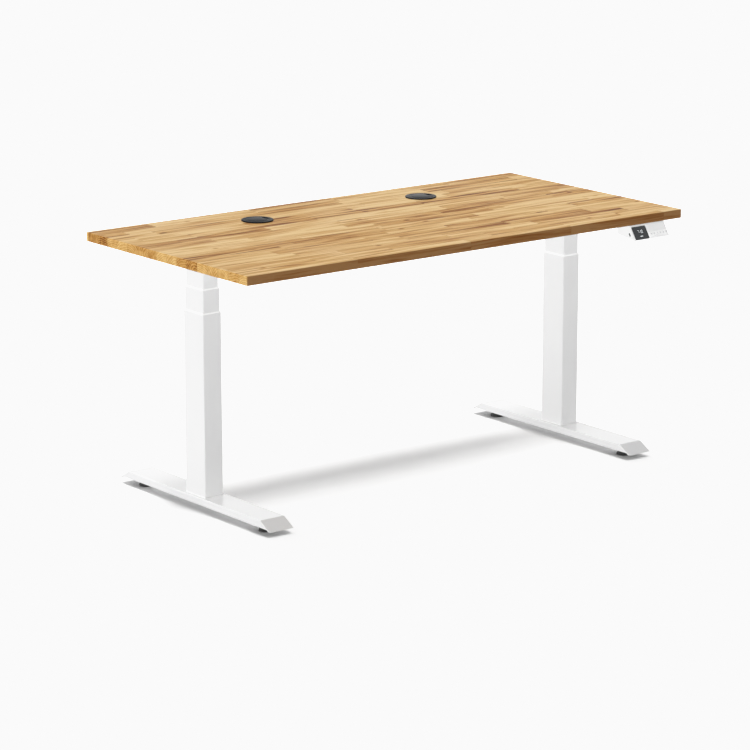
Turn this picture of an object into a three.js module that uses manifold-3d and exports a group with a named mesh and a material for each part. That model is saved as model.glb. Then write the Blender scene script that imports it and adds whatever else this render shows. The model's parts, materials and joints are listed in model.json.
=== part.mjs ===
// Height adjustable standing desk: a timber top on two three-stage electric columns.
// Millimetres, +Z up, the user sits on the -Y side, and the origin is on the floor under the middle.

import * as THREE from "three";
import { mergeVertices } from "three/addons/utils/BufferGeometryUtils.js";
import Module from "manifold-3d";

const wasm = await Module();
wasm.setup();

// ---------------------------------------------------------------- driving dimensions

// Fits that every sub-assembly shares.
const SEAT_GAP = 0.3; // between two pieces that rest on, or are fixed to, each other
const SLIDE_GAP = 0.4; // between a guide collar and the tube that slides in it
const ROUND_STEPS = 24; // facets of a round piece

// Desktop.
const TOP_LENGTH = 1500;
const TOP_DEPTH = 745;
const TOP_THICKNESS = 25;
const TOP_EDGE_ROUND = 2;
const TOP_CORNER_RADIUS = 4;

// Foot: a steel channel, open below, with a sloped plate at each end.
const FOOT_HEIGHT = 40;
const FOOT_WIDTH = 80;
const FOOT_FLAT_LENGTH = 616;
const FOOT_END_RUN = 42; // length of the sloped end, seen from above
const FOOT_SIDE_DEPTH = 20;
const FOOT_LIP = 4.5; // how far the sloped plate reaches below the sides
const FOOT_SHEET = 3;
const FOOT_SPACING = 1260; // between the two column centres

// Levelling foot: a pad on a threaded stem.
const LEVELER_PITCH = 560; // between the two stems of one foot
const LEVELER_PAD_RADIUS = 20;
const LEVELER_PAD_HEIGHT = 6;
const LEVELER_NECK_RADIUS = 9;
const LEVELER_NECK_HEIGHT = 10;
const LEVELER_STEM_RADIUS = 4;
const LEVELER_STEM_GAP = 3; // from the stem's end to the foot's roof
const LEVELER_CLEARANCE = 0.4;
const BRIDGE_LENGTH = 40; // plate welded across the channel for the stem
const BRIDGE_THICKNESS = 4;
const BRIDGE_LIFT = 2; // above the channel's lower edge

// Columns, from the outside in.
const TUBE_WIDTH = 60;
const TUBE_DEPTH = 90;
const TUBE_STEP = 5; // each stage is this much smaller across than the one around it
const TUBE_WALL = 1.5;
const TUBE_CORNER = 3;
const TUBE_LENGTH = 500;
const COLLAR_HEIGHT = 3;
const REST_LIFT = 80; // height of the stored desk above its lowest position
const MIDDLE_FLOOR_GAP = 25; // under the middle tube in the lowest position
const INNER_FLOOR_GAP = 30; // under the inner tube in the lowest position

// Lifting screws, all three on the column's centre line.
const BASE_PLATE_THICKNESS = 6;
const SCREW_FLANGE_RADIUS = 14;
const SCREW_FLANGE_HEIGHT = 4;
const SCREW_RADIUS = 8;
const SCREW_TOP_GAP = 5; // from the screw's end to the top of the outer tube
const SLEEVE_WALL = 5;
const DRIVE_TUBE_WALL = 5;
const SCREW_CLEARANCE = 1;
const SLEEVE_TOP_GAP = 5;
const DRIVE_TUBE_BOTTOM_GAP = 10;
const BEARING_THICKNESS = 4;

// Head of a column: the gearbox, its crown wheel and the motor.
const HEAD_REACH = 45; // from the column's centre line towards the middle of the desk
const HEAD_DEPTH = 92;
const HEAD_HEIGHT = 30;
const HEAD_WALL = 3;
const WHEEL_RADIUS = 28;
const WHEEL_THICKNESS = 5;
const WHEEL_CLEARANCE = 0.5;
const MOTOR_RADIUS = 19;
const MOTOR_TOP_GAP = 0.6;
const MOTOR_END_CAP = 6;
const MOTOR_END_STEP = 3;
const MOTOR_LENGTH = 114;
const MOTOR_SHAFT_RADIUS = 4;
const MOTOR_SHAFT_REACH = 24;

// Frame under the desktop.
const ARM_WIDTH = 60;
const ARM_SETBACK = 112.5; // from the desktop's front and rear edges
const ARM_PLATE = 4;
const ARM_CORNER = 8;
const ARM_FLANGE = 3;
const ARM_FLANGE_GAP = 4; // from the gearbox to where a flange starts
const ARM_FLANGE_DEEP = 20;
const ARM_FLANGE_SHALLOW = 8;
const RAIL_WIDTH = 20;
const RAIL_HEIGHT = 26;
const RAIL_WALL = 2;
const RAIL_LIFT = 2; // above the bottom of the gearbox
const RAIL_SPACING = 68;

// Cable grommets in the desktop.
const GROMMET_SPACING = 576;
const GROMMET_FROM_BACK = 151.5;
const GROMMET_HOLE_RADIUS = 40;
const GROMMET_CLEARANCE = 0.4;
const GROMMET_WALL = 3;
const GROMMET_LEDGE = 3; // step inside the ring that the cap rests on
const GROMMET_FLANGE_REACH = 4.5; // of the flange past the hole's edge
const GROMMET_FLANGE_HEIGHT = 3.5;
const GROMMET_SLEEVE = 20; // below the top surface
const GROMMET_EDGE = 1.2; // bevel of the flange's upper edge
const CAP_CLEARANCE = 0.4;
const CAP_SEAT = 3; // how deep the cap sits below the top surface
const CAP_RISE = 3.5;
const CAP_CROWN = 5.5;
const CAP_EDGE = 1; // bevel round the cap's shoulder
const CAP_DOME_SHARE = 0.6; // of the cap's radius, where the dome flattens out
const CAP_SLOT_WIDTH = 26;
const CAP_SLOT_DEPTH = 15;

// Control box under the desktop.
const CONTROL_LENGTH = 240;
const CONTROL_DEPTH = 100;
const CONTROL_HEIGHT = 32;
const CONTROL_WALL = 2.5;
const CONTROL_CORNER = 6;
const CONTROL_LID = 2.5;
const CONTROL_EAR = 18;
const CONTROL_EAR_SHARE = 0.6; // of the box's depth that the ears take up
const CONTROL_CENTRE_Y = 120;
const BOARD_THICKNESS = 1.6;
const BOARD_MARGIN = 8;
const BOARD_STANDOFF = 4;
// Transformer, relays, capacitors and heat sink: middle in x and y, length, width and height.
const CONTROL_PARTS = [
  [-75, -2, 50, 60, 18],
  [2, -15, 44, 28, 14],
  [12, 20, 54, 26, 10],
  [68, -26, 36, 18, 12],
];
const INLET_WIDTH = 27;
const INLET_HEIGHT = 20;
const INLET_BODY = 16;
const INLET_FLANGE = 2;
const INLET_FLANGE_THICKNESS = 1.5;
const INLET_RECESS_WALL = 2;
const INLET_RECESS_DEPTH = 14;
const INLET_PIN_LENGTH = 7;
const INLET_FROM_BACK = 24;
const INLET_PINS = [[-7, -2], [0, 3], [7, -2]];
const INLET_PIN_WIDTH = 2;
const INLET_PIN_HEIGHT = 5;

// Handset under the front edge.
const HANDSET_FROM_END = 66; // from the right end of the desktop
const HANDSET_SETBACK = 3.3; // of the face's upper edge behind the front edge
const HANDSET_TILT = 33.2; // of the face from upright, in degrees
const HANDSET_FACE = 48; // length of the face down its slope
const HANDSET_BODY_DEPTH = 50;
const HANDSET_BACK_HEIGHT = 30;
const HANDSET_WALL = 2.6;
const HANDSET_NOSE_RADIUS = 5;
const HANDSET_BASE_THICKNESS = 2.5;
const HANDSET_TAB = 18;
const HANDSET_TAB_INSET = 21; // of the tab from each end of the housing
const PANEL_WIDTH = 52;
const PANEL_LENGTH = 40;
const PANEL_FROM_END = 3;
const PANEL_FROM_BAR = 2.5;
const PANEL_FROM_TOP = 5.1;
const PANEL_DEPTH = 1.6;
const PANEL_PROUD = 0.4;
const PANEL_CORNER = 3;
const PANEL_CLEARANCE = 0.3;
const WINDOW_MARGIN = 5;
const DISPLAY_INSET = 4; // of the display module inside its window, at the top and bottom
const KEY_BAR_MARGIN = 2; // beside the outer keys
const KEY_BAR_FROM_END = 2.5;
const KEY_BAR_ABOVE = 4.5; // from the keys to the bar's upper edge
const KEY_BAR_BELOW = 6.5;
const KEY_BAR_RISE = 2.5;
const KEY_COUNT = 6;
const KEY_SIZE = 9;
const KEY_CORNER = 1.5;
const KEY_CORNER_STEPS = 2;
const KEY_SPACE = 2; // between neighbouring keys
const KEY_CLEARANCE = 0.3;
const KEY_PROUD = 1.2;
const KEY_CENTRE_FROM_TOP = 34;
const KEY_LIP = 1.5;
const KEY_LIP_THICKNESS = 1;
const KEY_POST_RADIUS = 1.6;
const KEY_POST_LENGTH = 1.8;
const HANDSET_BOARD_DEPTH = 7;
const HANDSET_BOARD_FROM_TOP = 8;
const HANDSET_BOARD_LENGTH = 28;
const PORT_FROM_TOP = 22;
const PORT_DEPTH_IN = 12.5;
const PORT_LENGTH = 9;
const PORT_HEIGHT = 4.2;
const PORT_BODY = 12;
const PORT_RIM = 0.7;
const PORT_RECESS = 6;

// Leads clipped under the desktop.
const MOTOR_LEAD_RADIUS = 2.5;
const HANDSET_LEAD_RADIUS = 2;
const LEAD_STEPS = 46;
const LEAD_SIDES = 8;

// ---------------------------------------------------------------- derived levels

const columnBottom = FOOT_HEIGHT + SEAT_GAP;
const outerTop = columnBottom + TUBE_LENGTH;
const middleBottom = columnBottom + MIDDLE_FLOOR_GAP + REST_LIFT / 2;
const middleTop = middleBottom + TUBE_LENGTH;
const innerBottom = columnBottom + INNER_FLOOR_GAP + REST_LIFT;
const innerTop = innerBottom + TUBE_LENGTH;
const headBottom = innerTop + SEAT_GAP;
const headTop = headBottom + HEAD_HEIGHT;
const armBottom = headTop + SEAT_GAP;
const armTop = armBottom + ARM_PLATE;
const underside = armTop + SEAT_GAP;
const surface = underside + TOP_THICKNESS;
const motorHeight = underside - MOTOR_TOP_GAP - MOTOR_RADIUS;
const screwBottom = columnBottom + BASE_PLATE_THICKNESS + SEAT_GAP;
const sleeveRadius = SCREW_RADIUS + SCREW_CLEARANCE + SLEEVE_WALL;
const driveTubeRadius = sleeveRadius + SCREW_CLEARANCE + DRIVE_TUBE_WALL;

// ---------------------------------------------------------------- materials

function finish(colour, roughness, metalness) {
  return new THREE.MeshStandardMaterial({ color: colour, roughness, metalness });
}

const whiteSteel = finish(0xf2f3f4, 0.35, 0.0);
const timber = finish(0xc08a4e, 0.5, 0.0);
const blackPlastic = finish(0x1b1c1e, 0.5, 0.0);
const whitePlastic = finish(0xe6e7e8, 0.4, 0.0);
const displayGlass = finish(0x26292c, 0.15, 0.0);
const rubber = finish(0x18181a, 0.8, 0.0);
const bareSteel = finish(0x9a9da0, 0.35, 1.0);
const motorZinc = finish(0x8b8f92, 0.45, 1.0);
const guidePlastic = finish(0xeff0f0, 0.5, 0.0);
const circuitBoard = finish(0x1f5a38, 0.5, 0.0);

// ---------------------------------------------------------------- solids

// A closed geometry as a solid that can be cut and joined.
function solidOf(geometry) {
  const bare = geometry.index ? geometry.toNonIndexed() : geometry.clone();
  bare.deleteAttribute("normal");
  bare.deleteAttribute("uv");
  const merged = mergeVertices(bare, 1e-4);
  return new wasm.Manifold(
    new wasm.Mesh({
      numProp: 3,
      vertProperties: merged.attributes.position.array,
      triVerts: new Uint32Array(merged.index.array),
    }),
  );
}

// The solid back as a geometry.
function geometryOf(solid) {
  const mesh = solid.getMesh();
  const geometry = new THREE.BufferGeometry();
  geometry.setAttribute("position", new THREE.BufferAttribute(mesh.vertProperties, 3));
  geometry.setIndex(new THREE.BufferAttribute(mesh.triVerts, 1));
  return geometry;
}

function cut(geometry, ...tools) {
  let solid = solidOf(geometry);
  for (const tool of tools) solid = solid.subtract(solidOf(tool));
  return geometryOf(solid);
}

function join(geometry, ...others) {
  let solid = solidOf(geometry);
  for (const other of others) solid = solid.add(solidOf(other));
  return geometryOf(solid);
}

// A box given by its lowest and highest corner.
function block(low, high) {
  const size = high.map((value, i) => value - low[i]);
  const centre = high.map((value, i) => (value + low[i]) / 2);
  return new THREE.BoxGeometry(...size).translate(...centre);
}

function roundedRectangle(width, depth, radius) {
  const x = width / 2;
  const y = depth / 2;
  const shape = new THREE.Shape();
  shape.moveTo(-x + radius, -y);
  shape.lineTo(x - radius, -y);
  shape.absarc(x - radius, -y + radius, radius, -Math.PI / 2, 0);
  shape.lineTo(x, y - radius);
  shape.absarc(x - radius, y - radius, radius, 0, Math.PI / 2);
  shape.lineTo(-x + radius, y);
  shape.absarc(-x + radius, y - radius, radius, Math.PI / 2, Math.PI);
  shape.lineTo(-x, -y + radius);
  shape.absarc(-x + radius, -y + radius, radius, Math.PI, 1.5 * Math.PI);
  return shape;
}

// A flat shape drawn in X and Y, raised from one level to another.
function raised(shape, bottom, top, curveSegments = 3) {
  const options = { depth: top - bottom, bevelEnabled: false, curveSegments };
  return new THREE.ExtrudeGeometry(shape, options).translate(0, 0, bottom);
}

// An outline of [y, z] points, or a shape, extruded along X between two places.
function alongX(outline, low, high, curveSegments = 4) {
  const shape = Array.isArray(outline)
    ? new THREE.Shape(outline.map(([y, z]) => new THREE.Vector2(y, z)))
    : outline;
  const options = { depth: high - low, bevelEnabled: false, curveSegments };
  const turn = new THREE.Matrix4().makeBasis(
    new THREE.Vector3(0, 1, 0),
    new THREE.Vector3(0, 0, 1),
    new THREE.Vector3(1, 0, 0),
  );
  return new THREE.ExtrudeGeometry(shape, options).applyMatrix4(turn).translate(low, 0, 0);
}

// A profile of [radius, height] points turned about Z.
function turned(profile, steps = ROUND_STEPS) {
  const points = profile.map(([radius, height]) => new THREE.Vector2(radius, height));
  return new THREE.LatheGeometry(points, steps).rotateX(Math.PI / 2);
}

function disc(radius, bottom, top, steps = ROUND_STEPS) {
  return turned([[0, bottom], [radius, bottom], [radius, top], [0, top]], steps);
}

function sleeve(inner, outer, bottom, top) {
  return turned([[inner, bottom], [outer, bottom], [outer, top], [inner, top], [inner, bottom]]);
}

function rectangularTube(width, depth, wall, corner, bottom, top) {
  const outside = roundedRectangle(width, depth, corner);
  outside.holes.push(
    roundedRectangle(width - 2 * wall, depth - 2 * wall, Math.max(corner - wall, wall / 2)),
  );
  return raised(outside, bottom, top);
}

// ---------------------------------------------------------------- assembly

const part = new THREE.Group();
part.name = "standing_desk";

// Everything is drawn about the middle of the desktop, and moved back at the end for the handset.
const desk = new THREE.Group();
part.add(desk);

function add(name, geometry, material, parent = desk) {
  const mesh = new THREE.Mesh(geometry, material);
  mesh.name = name;
  parent.add(mesh);
  return mesh;
}

// ---------------------------------------------------------------- feet

// Side view of the channel: the sloped ends run down past the sides as thin plates.
function footOutline() {
  const flat = FOOT_FLAT_LENGTH / 2;
  const lip = FOOT_HEIGHT - FOOT_SIDE_DEPTH - FOOT_LIP;
  const run = FOOT_END_RUN / (FOOT_HEIGHT - lip); // along Y for each millimetre of height
  const slant = FOOT_SHEET * Math.hypot(1, run); // the plate's thickness, cut level
  const end = flat + FOOT_END_RUN;
  const side = FOOT_HEIGHT - FOOT_SIDE_DEPTH;
  const half = [
    [flat, FOOT_HEIGHT],
    [end, lip],
    [end - slant, lip],
    [end - slant - FOOT_LIP * run, side],
  ];
  const inside = (height) => end - slant - (height - lip) * run;
  return { half, inside, side };
}

function footGeometry() {
  const { half, inside, side } = footOutline();
  const mirrored = half.map(([y, z]) => [-y, z]).reverse();
  const body = alongX([...mirrored, ...half].reverse(), -FOOT_WIDTH / 2, FOOT_WIDTH / 2);
  const roof = FOOT_HEIGHT - FOOT_SHEET;
  const below = side - 1;
  const hollow = alongX(
    [
      [-inside(below), below],
      [inside(below), below],
      [inside(roof), roof],
      [-inside(roof), roof],
    ],
    FOOT_SHEET - FOOT_WIDTH / 2,
    FOOT_WIDTH / 2 - FOOT_SHEET,
  );
  let foot = cut(body, hollow);
  const bridgeBottom = side + BRIDGE_LIFT;
  const bridgeTop = bridgeBottom + BRIDGE_THICKNESS;
  const reach = FOOT_WIDTH / 2 - FOOT_SHEET / 2;
  for (const end of [-1, 1]) {
    const middle = (end * LEVELER_PITCH) / 2;
    const bridge = block(
      [-reach, middle - BRIDGE_LENGTH / 2, bridgeBottom],
      [reach, middle + BRIDGE_LENGTH / 2, bridgeTop],
    );
    const hole = disc(
      LEVELER_STEM_RADIUS + LEVELER_CLEARANCE,
      bridgeBottom - 1,
      bridgeTop + 1,
      ROUND_STEPS / 2,
    ).translate(0, middle, 0);
    foot = cut(join(foot, bridge), hole);
  }
  return foot;
}

function levelerGeometry() {
  const stemTop = FOOT_HEIGHT - FOOT_SHEET - LEVELER_STEM_GAP;
  return turned([
    [0, 0],
    [LEVELER_PAD_RADIUS, 0],
    [LEVELER_PAD_RADIUS, LEVELER_PAD_HEIGHT],
    [LEVELER_NECK_RADIUS, LEVELER_NECK_HEIGHT],
    [LEVELER_STEM_RADIUS, LEVELER_NECK_HEIGHT],
    [LEVELER_STEM_RADIUS, stemTop],
    [0, stemTop],
  ], ROUND_STEPS / 2);
}

// ---------------------------------------------------------------- columns

function stageSize(stage) {
  return { width: TUBE_WIDTH - stage * TUBE_STEP, depth: TUBE_DEPTH - stage * TUBE_STEP };
}

function tubeGeometry(stage, bottom) {
  const { width, depth } = stageSize(stage);
  return rectangularTube(width, depth, TUBE_WALL, TUBE_CORNER, bottom, bottom + TUBE_LENGTH);
}

// Plastic guide on the open end of a stage, close round the next stage.
function collarGeometry(stage, tubeTop) {
  const outside = stageSize(stage);
  const inside = stageSize(stage + 1);
  const ring = roundedRectangle(outside.width, outside.depth, TUBE_CORNER);
  ring.holes.push(
    roundedRectangle(inside.width + 2 * SLIDE_GAP, inside.depth + 2 * SLIDE_GAP, TUBE_CORNER),
  );
  return raised(ring, tubeTop + SEAT_GAP, tubeTop + SEAT_GAP + COLLAR_HEIGHT);
}

// A plate that fills the inside of a stage.
function plugPlate(stage, bottom, thickness) {
  const { width, depth } = stageSize(stage);
  const inset = 2 * (TUBE_WALL + SEAT_GAP);
  return raised(
    roundedRectangle(width - inset, depth - inset, TUBE_CORNER - TUBE_WALL),
    bottom,
    bottom + thickness,
  );
}

function baseScrewGeometry() {
  const flangeTop = screwBottom + SCREW_FLANGE_HEIGHT;
  return turned([
    [0, screwBottom],
    [SCREW_FLANGE_RADIUS, screwBottom],
    [SCREW_FLANGE_RADIUS, flangeTop],
    [SCREW_RADIUS, flangeTop],
    [SCREW_RADIUS, outerTop - SCREW_TOP_GAP],
    [0, outerTop - SCREW_TOP_GAP],
  ]);
}

function bearingGeometry() {
  const plate = plugPlate(1, middleBottom, BEARING_THICKNESS);
  const bore = disc(
    SCREW_RADIUS + SCREW_CLEARANCE,
    middleBottom - 1,
    middleBottom + BEARING_THICKNESS + 1,
  );
  return cut(plate, bore);
}

function liftSleeveGeometry() {
  return sleeve(
    SCREW_RADIUS + SCREW_CLEARANCE,
    sleeveRadius,
    middleBottom + BEARING_THICKNESS + SEAT_GAP,
    middleTop - SLEEVE_TOP_GAP,
  );
}

// The drive tube hangs by its crown wheel from the floor of the gearbox.
function driveTubeGeometry() {
  const inner = sleeveRadius + SCREW_CLEARANCE;
  const wheelBottom = headBottom + HEAD_WALL + SEAT_GAP;
  const wheelTop = wheelBottom + WHEEL_THICKNESS;
  const bottom = innerBottom + DRIVE_TUBE_BOTTOM_GAP;
  return turned([
    [inner, bottom],
    [driveTubeRadius, bottom],
    [driveTubeRadius, wheelBottom],
    [WHEEL_RADIUS, wheelBottom],
    [WHEEL_RADIUS, wheelTop],
    [inner, wheelTop],
    [inner, bottom],
  ]);
}

// Gearbox drawn for the left column: it reaches towards +X. Its open top is closed by the arm.
function gearboxGeometry() {
  const outerSide = stageSize(2).width / 2;
  const half = HEAD_DEPTH / 2;
  const shell = block([-outerSide, -half, headBottom], [HEAD_REACH, half, headTop]);
  const pocket = block(
    [HEAD_WALL - outerSide, HEAD_WALL - half, headBottom + HEAD_WALL],
    [HEAD_REACH - HEAD_WALL, half - HEAD_WALL, headTop + 1],
  );
  const tubeHole = disc(driveTubeRadius + WHEEL_CLEARANCE, headBottom - 1, headTop);
  const shaftHole = disc(MOTOR_SHAFT_RADIUS + WHEEL_CLEARANCE, 0, 2 * HEAD_WALL)
    .rotateY(Math.PI / 2)
    .translate(HEAD_REACH - 1.5 * HEAD_WALL, 0, motorHeight);
  // The wheel is wider than the wall leaves room for on the outer side, so it gets a round relief.
  const relief = disc(
    WHEEL_RADIUS + WHEEL_CLEARANCE,
    headBottom + HEAD_WALL,
    headBottom + HEAD_WALL + SEAT_GAP + WHEEL_THICKNESS + WHEEL_CLEARANCE,
  );
  return cut(shell, pocket, tubeHole, shaftHole, relief);
}

// Motor drawn for the left column, along +X from the gearbox, with its pinion shaft inside it.
function motorGeometry() {
  const start = HEAD_REACH + SEAT_GAP;
  const profile = [
    [0, start - MOTOR_SHAFT_REACH],
    [MOTOR_SHAFT_RADIUS, start - MOTOR_SHAFT_REACH],
    [MOTOR_SHAFT_RADIUS, start],
    [MOTOR_RADIUS - MOTOR_END_STEP, start],
    [MOTOR_RADIUS - MOTOR_END_STEP, start + MOTOR_END_CAP],
    [MOTOR_RADIUS, start + MOTOR_END_CAP],
    [MOTOR_RADIUS, start + MOTOR_LENGTH - MOTOR_END_CAP],
    [MOTOR_RADIUS - MOTOR_END_STEP, start + MOTOR_LENGTH],
    [0, start + MOTOR_LENGTH],
  ];
  return turned(profile).rotateY(Math.PI / 2).translate(0, 0, motorHeight);
}

function armGeometry() {
  const length = TOP_DEPTH - 2 * ARM_SETBACK;
  const half = length / 2;
  const side = ARM_WIDTH / 2;
  const inner = HEAD_DEPTH / 2 + ARM_FLANGE_GAP;
  let arm = raised(roundedRectangle(ARM_WIDTH, length, ARM_CORNER), armBottom, armTop);
  for (const end of [-1, 1]) {
    for (const edge of [-1, 1]) {
      const outline = [
        [end * inner, armTop - 1],
        [end * inner, armBottom - ARM_FLANGE_DEEP],
        [end * (half - 2 * ARM_FLANGE_GAP), armBottom - ARM_FLANGE_SHALLOW],
        [end * (half - 2 * ARM_FLANGE_GAP), armTop - 1],
      ];
      if (end < 0) outline.reverse();
      const low = edge < 0 ? -side : side - ARM_FLANGE;
      arm = join(arm, alongX(outline, low, low + ARM_FLANGE));
    }
  }
  return arm;
}

for (const [side, sign] of [["left", -1], ["right", 1]]) {
  const column = new THREE.Group();
  column.position.x = (sign * FOOT_SPACING) / 2;
  desk.add(column);
  add(`${side}_foot`, footGeometry(), whiteSteel, column);
  for (const [end, way] of [["front", -1], ["rear", 1]]) {
    const leveler = add(`${side}_${end}_leveler`, levelerGeometry(), rubber, column);
    leveler.position.y = (way * LEVELER_PITCH) / 2;
  }
  add(`${side}_base_plate`, plugPlate(0, columnBottom, BASE_PLATE_THICKNESS), bareSteel, column);
  add(`${side}_base_screw`, baseScrewGeometry(), bareSteel, column);
  add(`${side}_outer_tube`, tubeGeometry(0, columnBottom), whiteSteel, column);
  add(`${side}_outer_collar`, collarGeometry(0, outerTop), guidePlastic, column);
  add(`${side}_middle_tube`, tubeGeometry(1, middleBottom), whiteSteel, column);
  add(`${side}_middle_collar`, collarGeometry(1, middleTop), guidePlastic, column);
  add(`${side}_sleeve_bearing`, bearingGeometry(), bareSteel, column);
  add(`${side}_lift_sleeve`, liftSleeveGeometry(), bareSteel, column);
  add(`${side}_inner_tube`, tubeGeometry(2, innerBottom), whiteSteel, column);
  add(`${side}_drive_tube`, driveTubeGeometry(), bareSteel, column);
  add(`${side}_arm`, armGeometry(), whiteSteel, column);
  // The gearbox and motor point inwards on both sides.
  const head = new THREE.Group();
  if (sign > 0) head.rotation.z = Math.PI;
  column.add(head);
  add(`${side}_gearbox`, gearboxGeometry(), whiteSteel, head);
  add(`${side}_motor`, motorGeometry(), motorZinc, head);
}

// ---------------------------------------------------------------- rails

const railReach = FOOT_SPACING / 2 - HEAD_REACH - SEAT_GAP;
for (const [end, way] of [["front", -1], ["rear", 1]]) {
  const bottom = headBottom + RAIL_LIFT;
  const outside = roundedRectangle(RAIL_WIDTH, RAIL_HEIGHT, TUBE_CORNER);
  outside.holes.push(
    roundedRectangle(RAIL_WIDTH - 2 * RAIL_WALL, RAIL_HEIGHT - 2 * RAIL_WALL, RAIL_WALL / 2),
  );
  const rail = alongX(outside, -railReach, railReach, 3);
  rail.translate(0, (way * RAIL_SPACING) / 2, bottom + RAIL_HEIGHT / 2);
  add(`${end}_rail`, rail, whiteSteel);
}

// ---------------------------------------------------------------- desktop and grommets

const grommetY = TOP_DEPTH / 2 - GROMMET_FROM_BACK;

function desktopGeometry() {
  const outline = roundedRectangle(
    TOP_LENGTH - 2 * TOP_EDGE_ROUND,
    TOP_DEPTH - 2 * TOP_EDGE_ROUND,
    TOP_CORNER_RADIUS - TOP_EDGE_ROUND,
  );
  const board = new THREE.ExtrudeGeometry(outline, {
    depth: TOP_THICKNESS - 2 * TOP_EDGE_ROUND,
    bevelEnabled: true,
    bevelThickness: TOP_EDGE_ROUND,
    bevelSize: TOP_EDGE_ROUND,
    bevelSegments: 3,
    curveSegments: 3,
  }).translate(0, 0, underside + TOP_EDGE_ROUND);
  const holes = [-1, 1].map((way) =>
    disc(GROMMET_HOLE_RADIUS, underside - 1, surface + 1).translate(
      (way * GROMMET_SPACING) / 2,
      grommetY,
      0,
    ),
  );
  return cut(board, ...holes);
}

const grommetSleeveRadius = GROMMET_HOLE_RADIUS - GROMMET_CLEARANCE;
const grommetMouthRadius = grommetSleeveRadius - GROMMET_WALL;
const grommetFlangeRadius = GROMMET_HOLE_RADIUS + GROMMET_FLANGE_REACH;

function grommetRingGeometry() {
  const rest = surface + SEAT_GAP;
  const top = rest + GROMMET_FLANGE_HEIGHT;
  const ledge = surface - CAP_SEAT;
  return turned([
    [grommetMouthRadius - GROMMET_LEDGE, surface - GROMMET_SLEEVE],
    [grommetSleeveRadius, surface - GROMMET_SLEEVE],
    [grommetSleeveRadius, rest],
    [grommetFlangeRadius, rest],
    [grommetFlangeRadius, top - GROMMET_EDGE],
    [grommetFlangeRadius - GROMMET_EDGE, top],
    [grommetMouthRadius, top],
    [grommetMouthRadius, ledge],
    [grommetMouthRadius - GROMMET_LEDGE, ledge],
    [grommetMouthRadius - GROMMET_LEDGE, surface - GROMMET_SLEEVE],
  ]);
}

// Domed cap with a slot at its rim for cables; the slot is towards +X.
function grommetCapGeometry() {
  const radius = grommetMouthRadius - CAP_CLEARANCE;
  const bottom = surface - CAP_SEAT + SEAT_GAP;
  const shoulder = surface + CAP_RISE;
  const crown = surface + CAP_CROWN;
  const flattening = (shoulder + 2 * crown) / 3;
  const cap = turned([
    [0, bottom],
    [radius, bottom],
    [radius, shoulder - CAP_EDGE],
    [radius - CAP_EDGE, shoulder],
    [radius * CAP_DOME_SHARE, flattening],
    [0, crown],
  ]);
  const slot = block(
    [radius - CAP_SLOT_DEPTH, -CAP_SLOT_WIDTH / 2, bottom - 1],
    [radius + 1, CAP_SLOT_WIDTH / 2, crown + 1],
  );
  return cut(cap, slot);
}

add("desktop", desktopGeometry(), timber);
for (const [side, way] of [["left", -1], ["right", 1]]) {
  const x = (way * GROMMET_SPACING) / 2;
  add(`${side}_grommet_ring`, grommetRingGeometry(), blackPlastic).position.set(x, grommetY, 0);
  add(`${side}_grommet_cap`, grommetCapGeometry(), blackPlastic).position.set(x, grommetY, 0);
}

// ---------------------------------------------------------------- control box

const lidTop = underside - SEAT_GAP;
const lidBottom = lidTop - CONTROL_LID;
const controlTop = lidBottom - SEAT_GAP;
const controlBottom = controlTop - CONTROL_HEIGHT;
const controlMiddle = (controlTop + controlBottom) / 2;
const inletY = CONTROL_DEPTH / 2 - INLET_FROM_BACK;

function controlShellGeometry() {
  const shell = raised(
    roundedRectangle(CONTROL_LENGTH, CONTROL_DEPTH, CONTROL_CORNER),
    controlBottom,
    controlTop,
  );
  const innerLength = CONTROL_LENGTH - 2 * CONTROL_WALL;
  const innerDepth = CONTROL_DEPTH - 2 * CONTROL_WALL;
  const pocket = raised(
    roundedRectangle(innerLength, innerDepth, CONTROL_CORNER - CONTROL_WALL),
    controlBottom + CONTROL_WALL,
    controlTop + 1,
  );
  const window = block(
    [
      CONTROL_LENGTH / 2 - 2 * CONTROL_WALL,
      inletY - INLET_WIDTH / 2 - SEAT_GAP,
      controlMiddle - INLET_HEIGHT / 2 - SEAT_GAP,
    ],
    [
      CONTROL_LENGTH / 2 + 1,
      inletY + INLET_WIDTH / 2 + SEAT_GAP,
      controlMiddle + INLET_HEIGHT / 2 + SEAT_GAP,
    ],
  );
  return cut(shell, pocket, window);
}

function controlLidGeometry() {
  const ears = roundedRectangle(
    CONTROL_LENGTH + 2 * CONTROL_EAR,
    CONTROL_DEPTH * CONTROL_EAR_SHARE,
    CONTROL_CORNER,
  );
  const cover = roundedRectangle(CONTROL_LENGTH, CONTROL_DEPTH, CONTROL_CORNER);
  return join(raised(cover, lidBottom, lidTop), raised(ears, lidBottom, lidTop));
}

// Circuit board with its transformer, relay block and capacitor bank.
function controlBoardGeometry() {
  const bottom = controlBottom + CONTROL_WALL + BOARD_STANDOFF;
  const top = bottom + BOARD_THICKNESS;
  const x = CONTROL_LENGTH / 2 - CONTROL_WALL - BOARD_MARGIN;
  const y = CONTROL_DEPTH / 2 - CONTROL_WALL - BOARD_MARGIN;
  const board = block([-x, -y, bottom], [x - INLET_BODY, y, top]);
  const sink = top - BOARD_THICKNESS / 2;
  const parts = CONTROL_PARTS.map(([px, py, length, width, height]) =>
    block(
      [px - length / 2, py - width / 2, sink],
      [px + length / 2, py + width / 2, top + height],
    ),
  );
  return join(board, ...parts);
}

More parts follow.
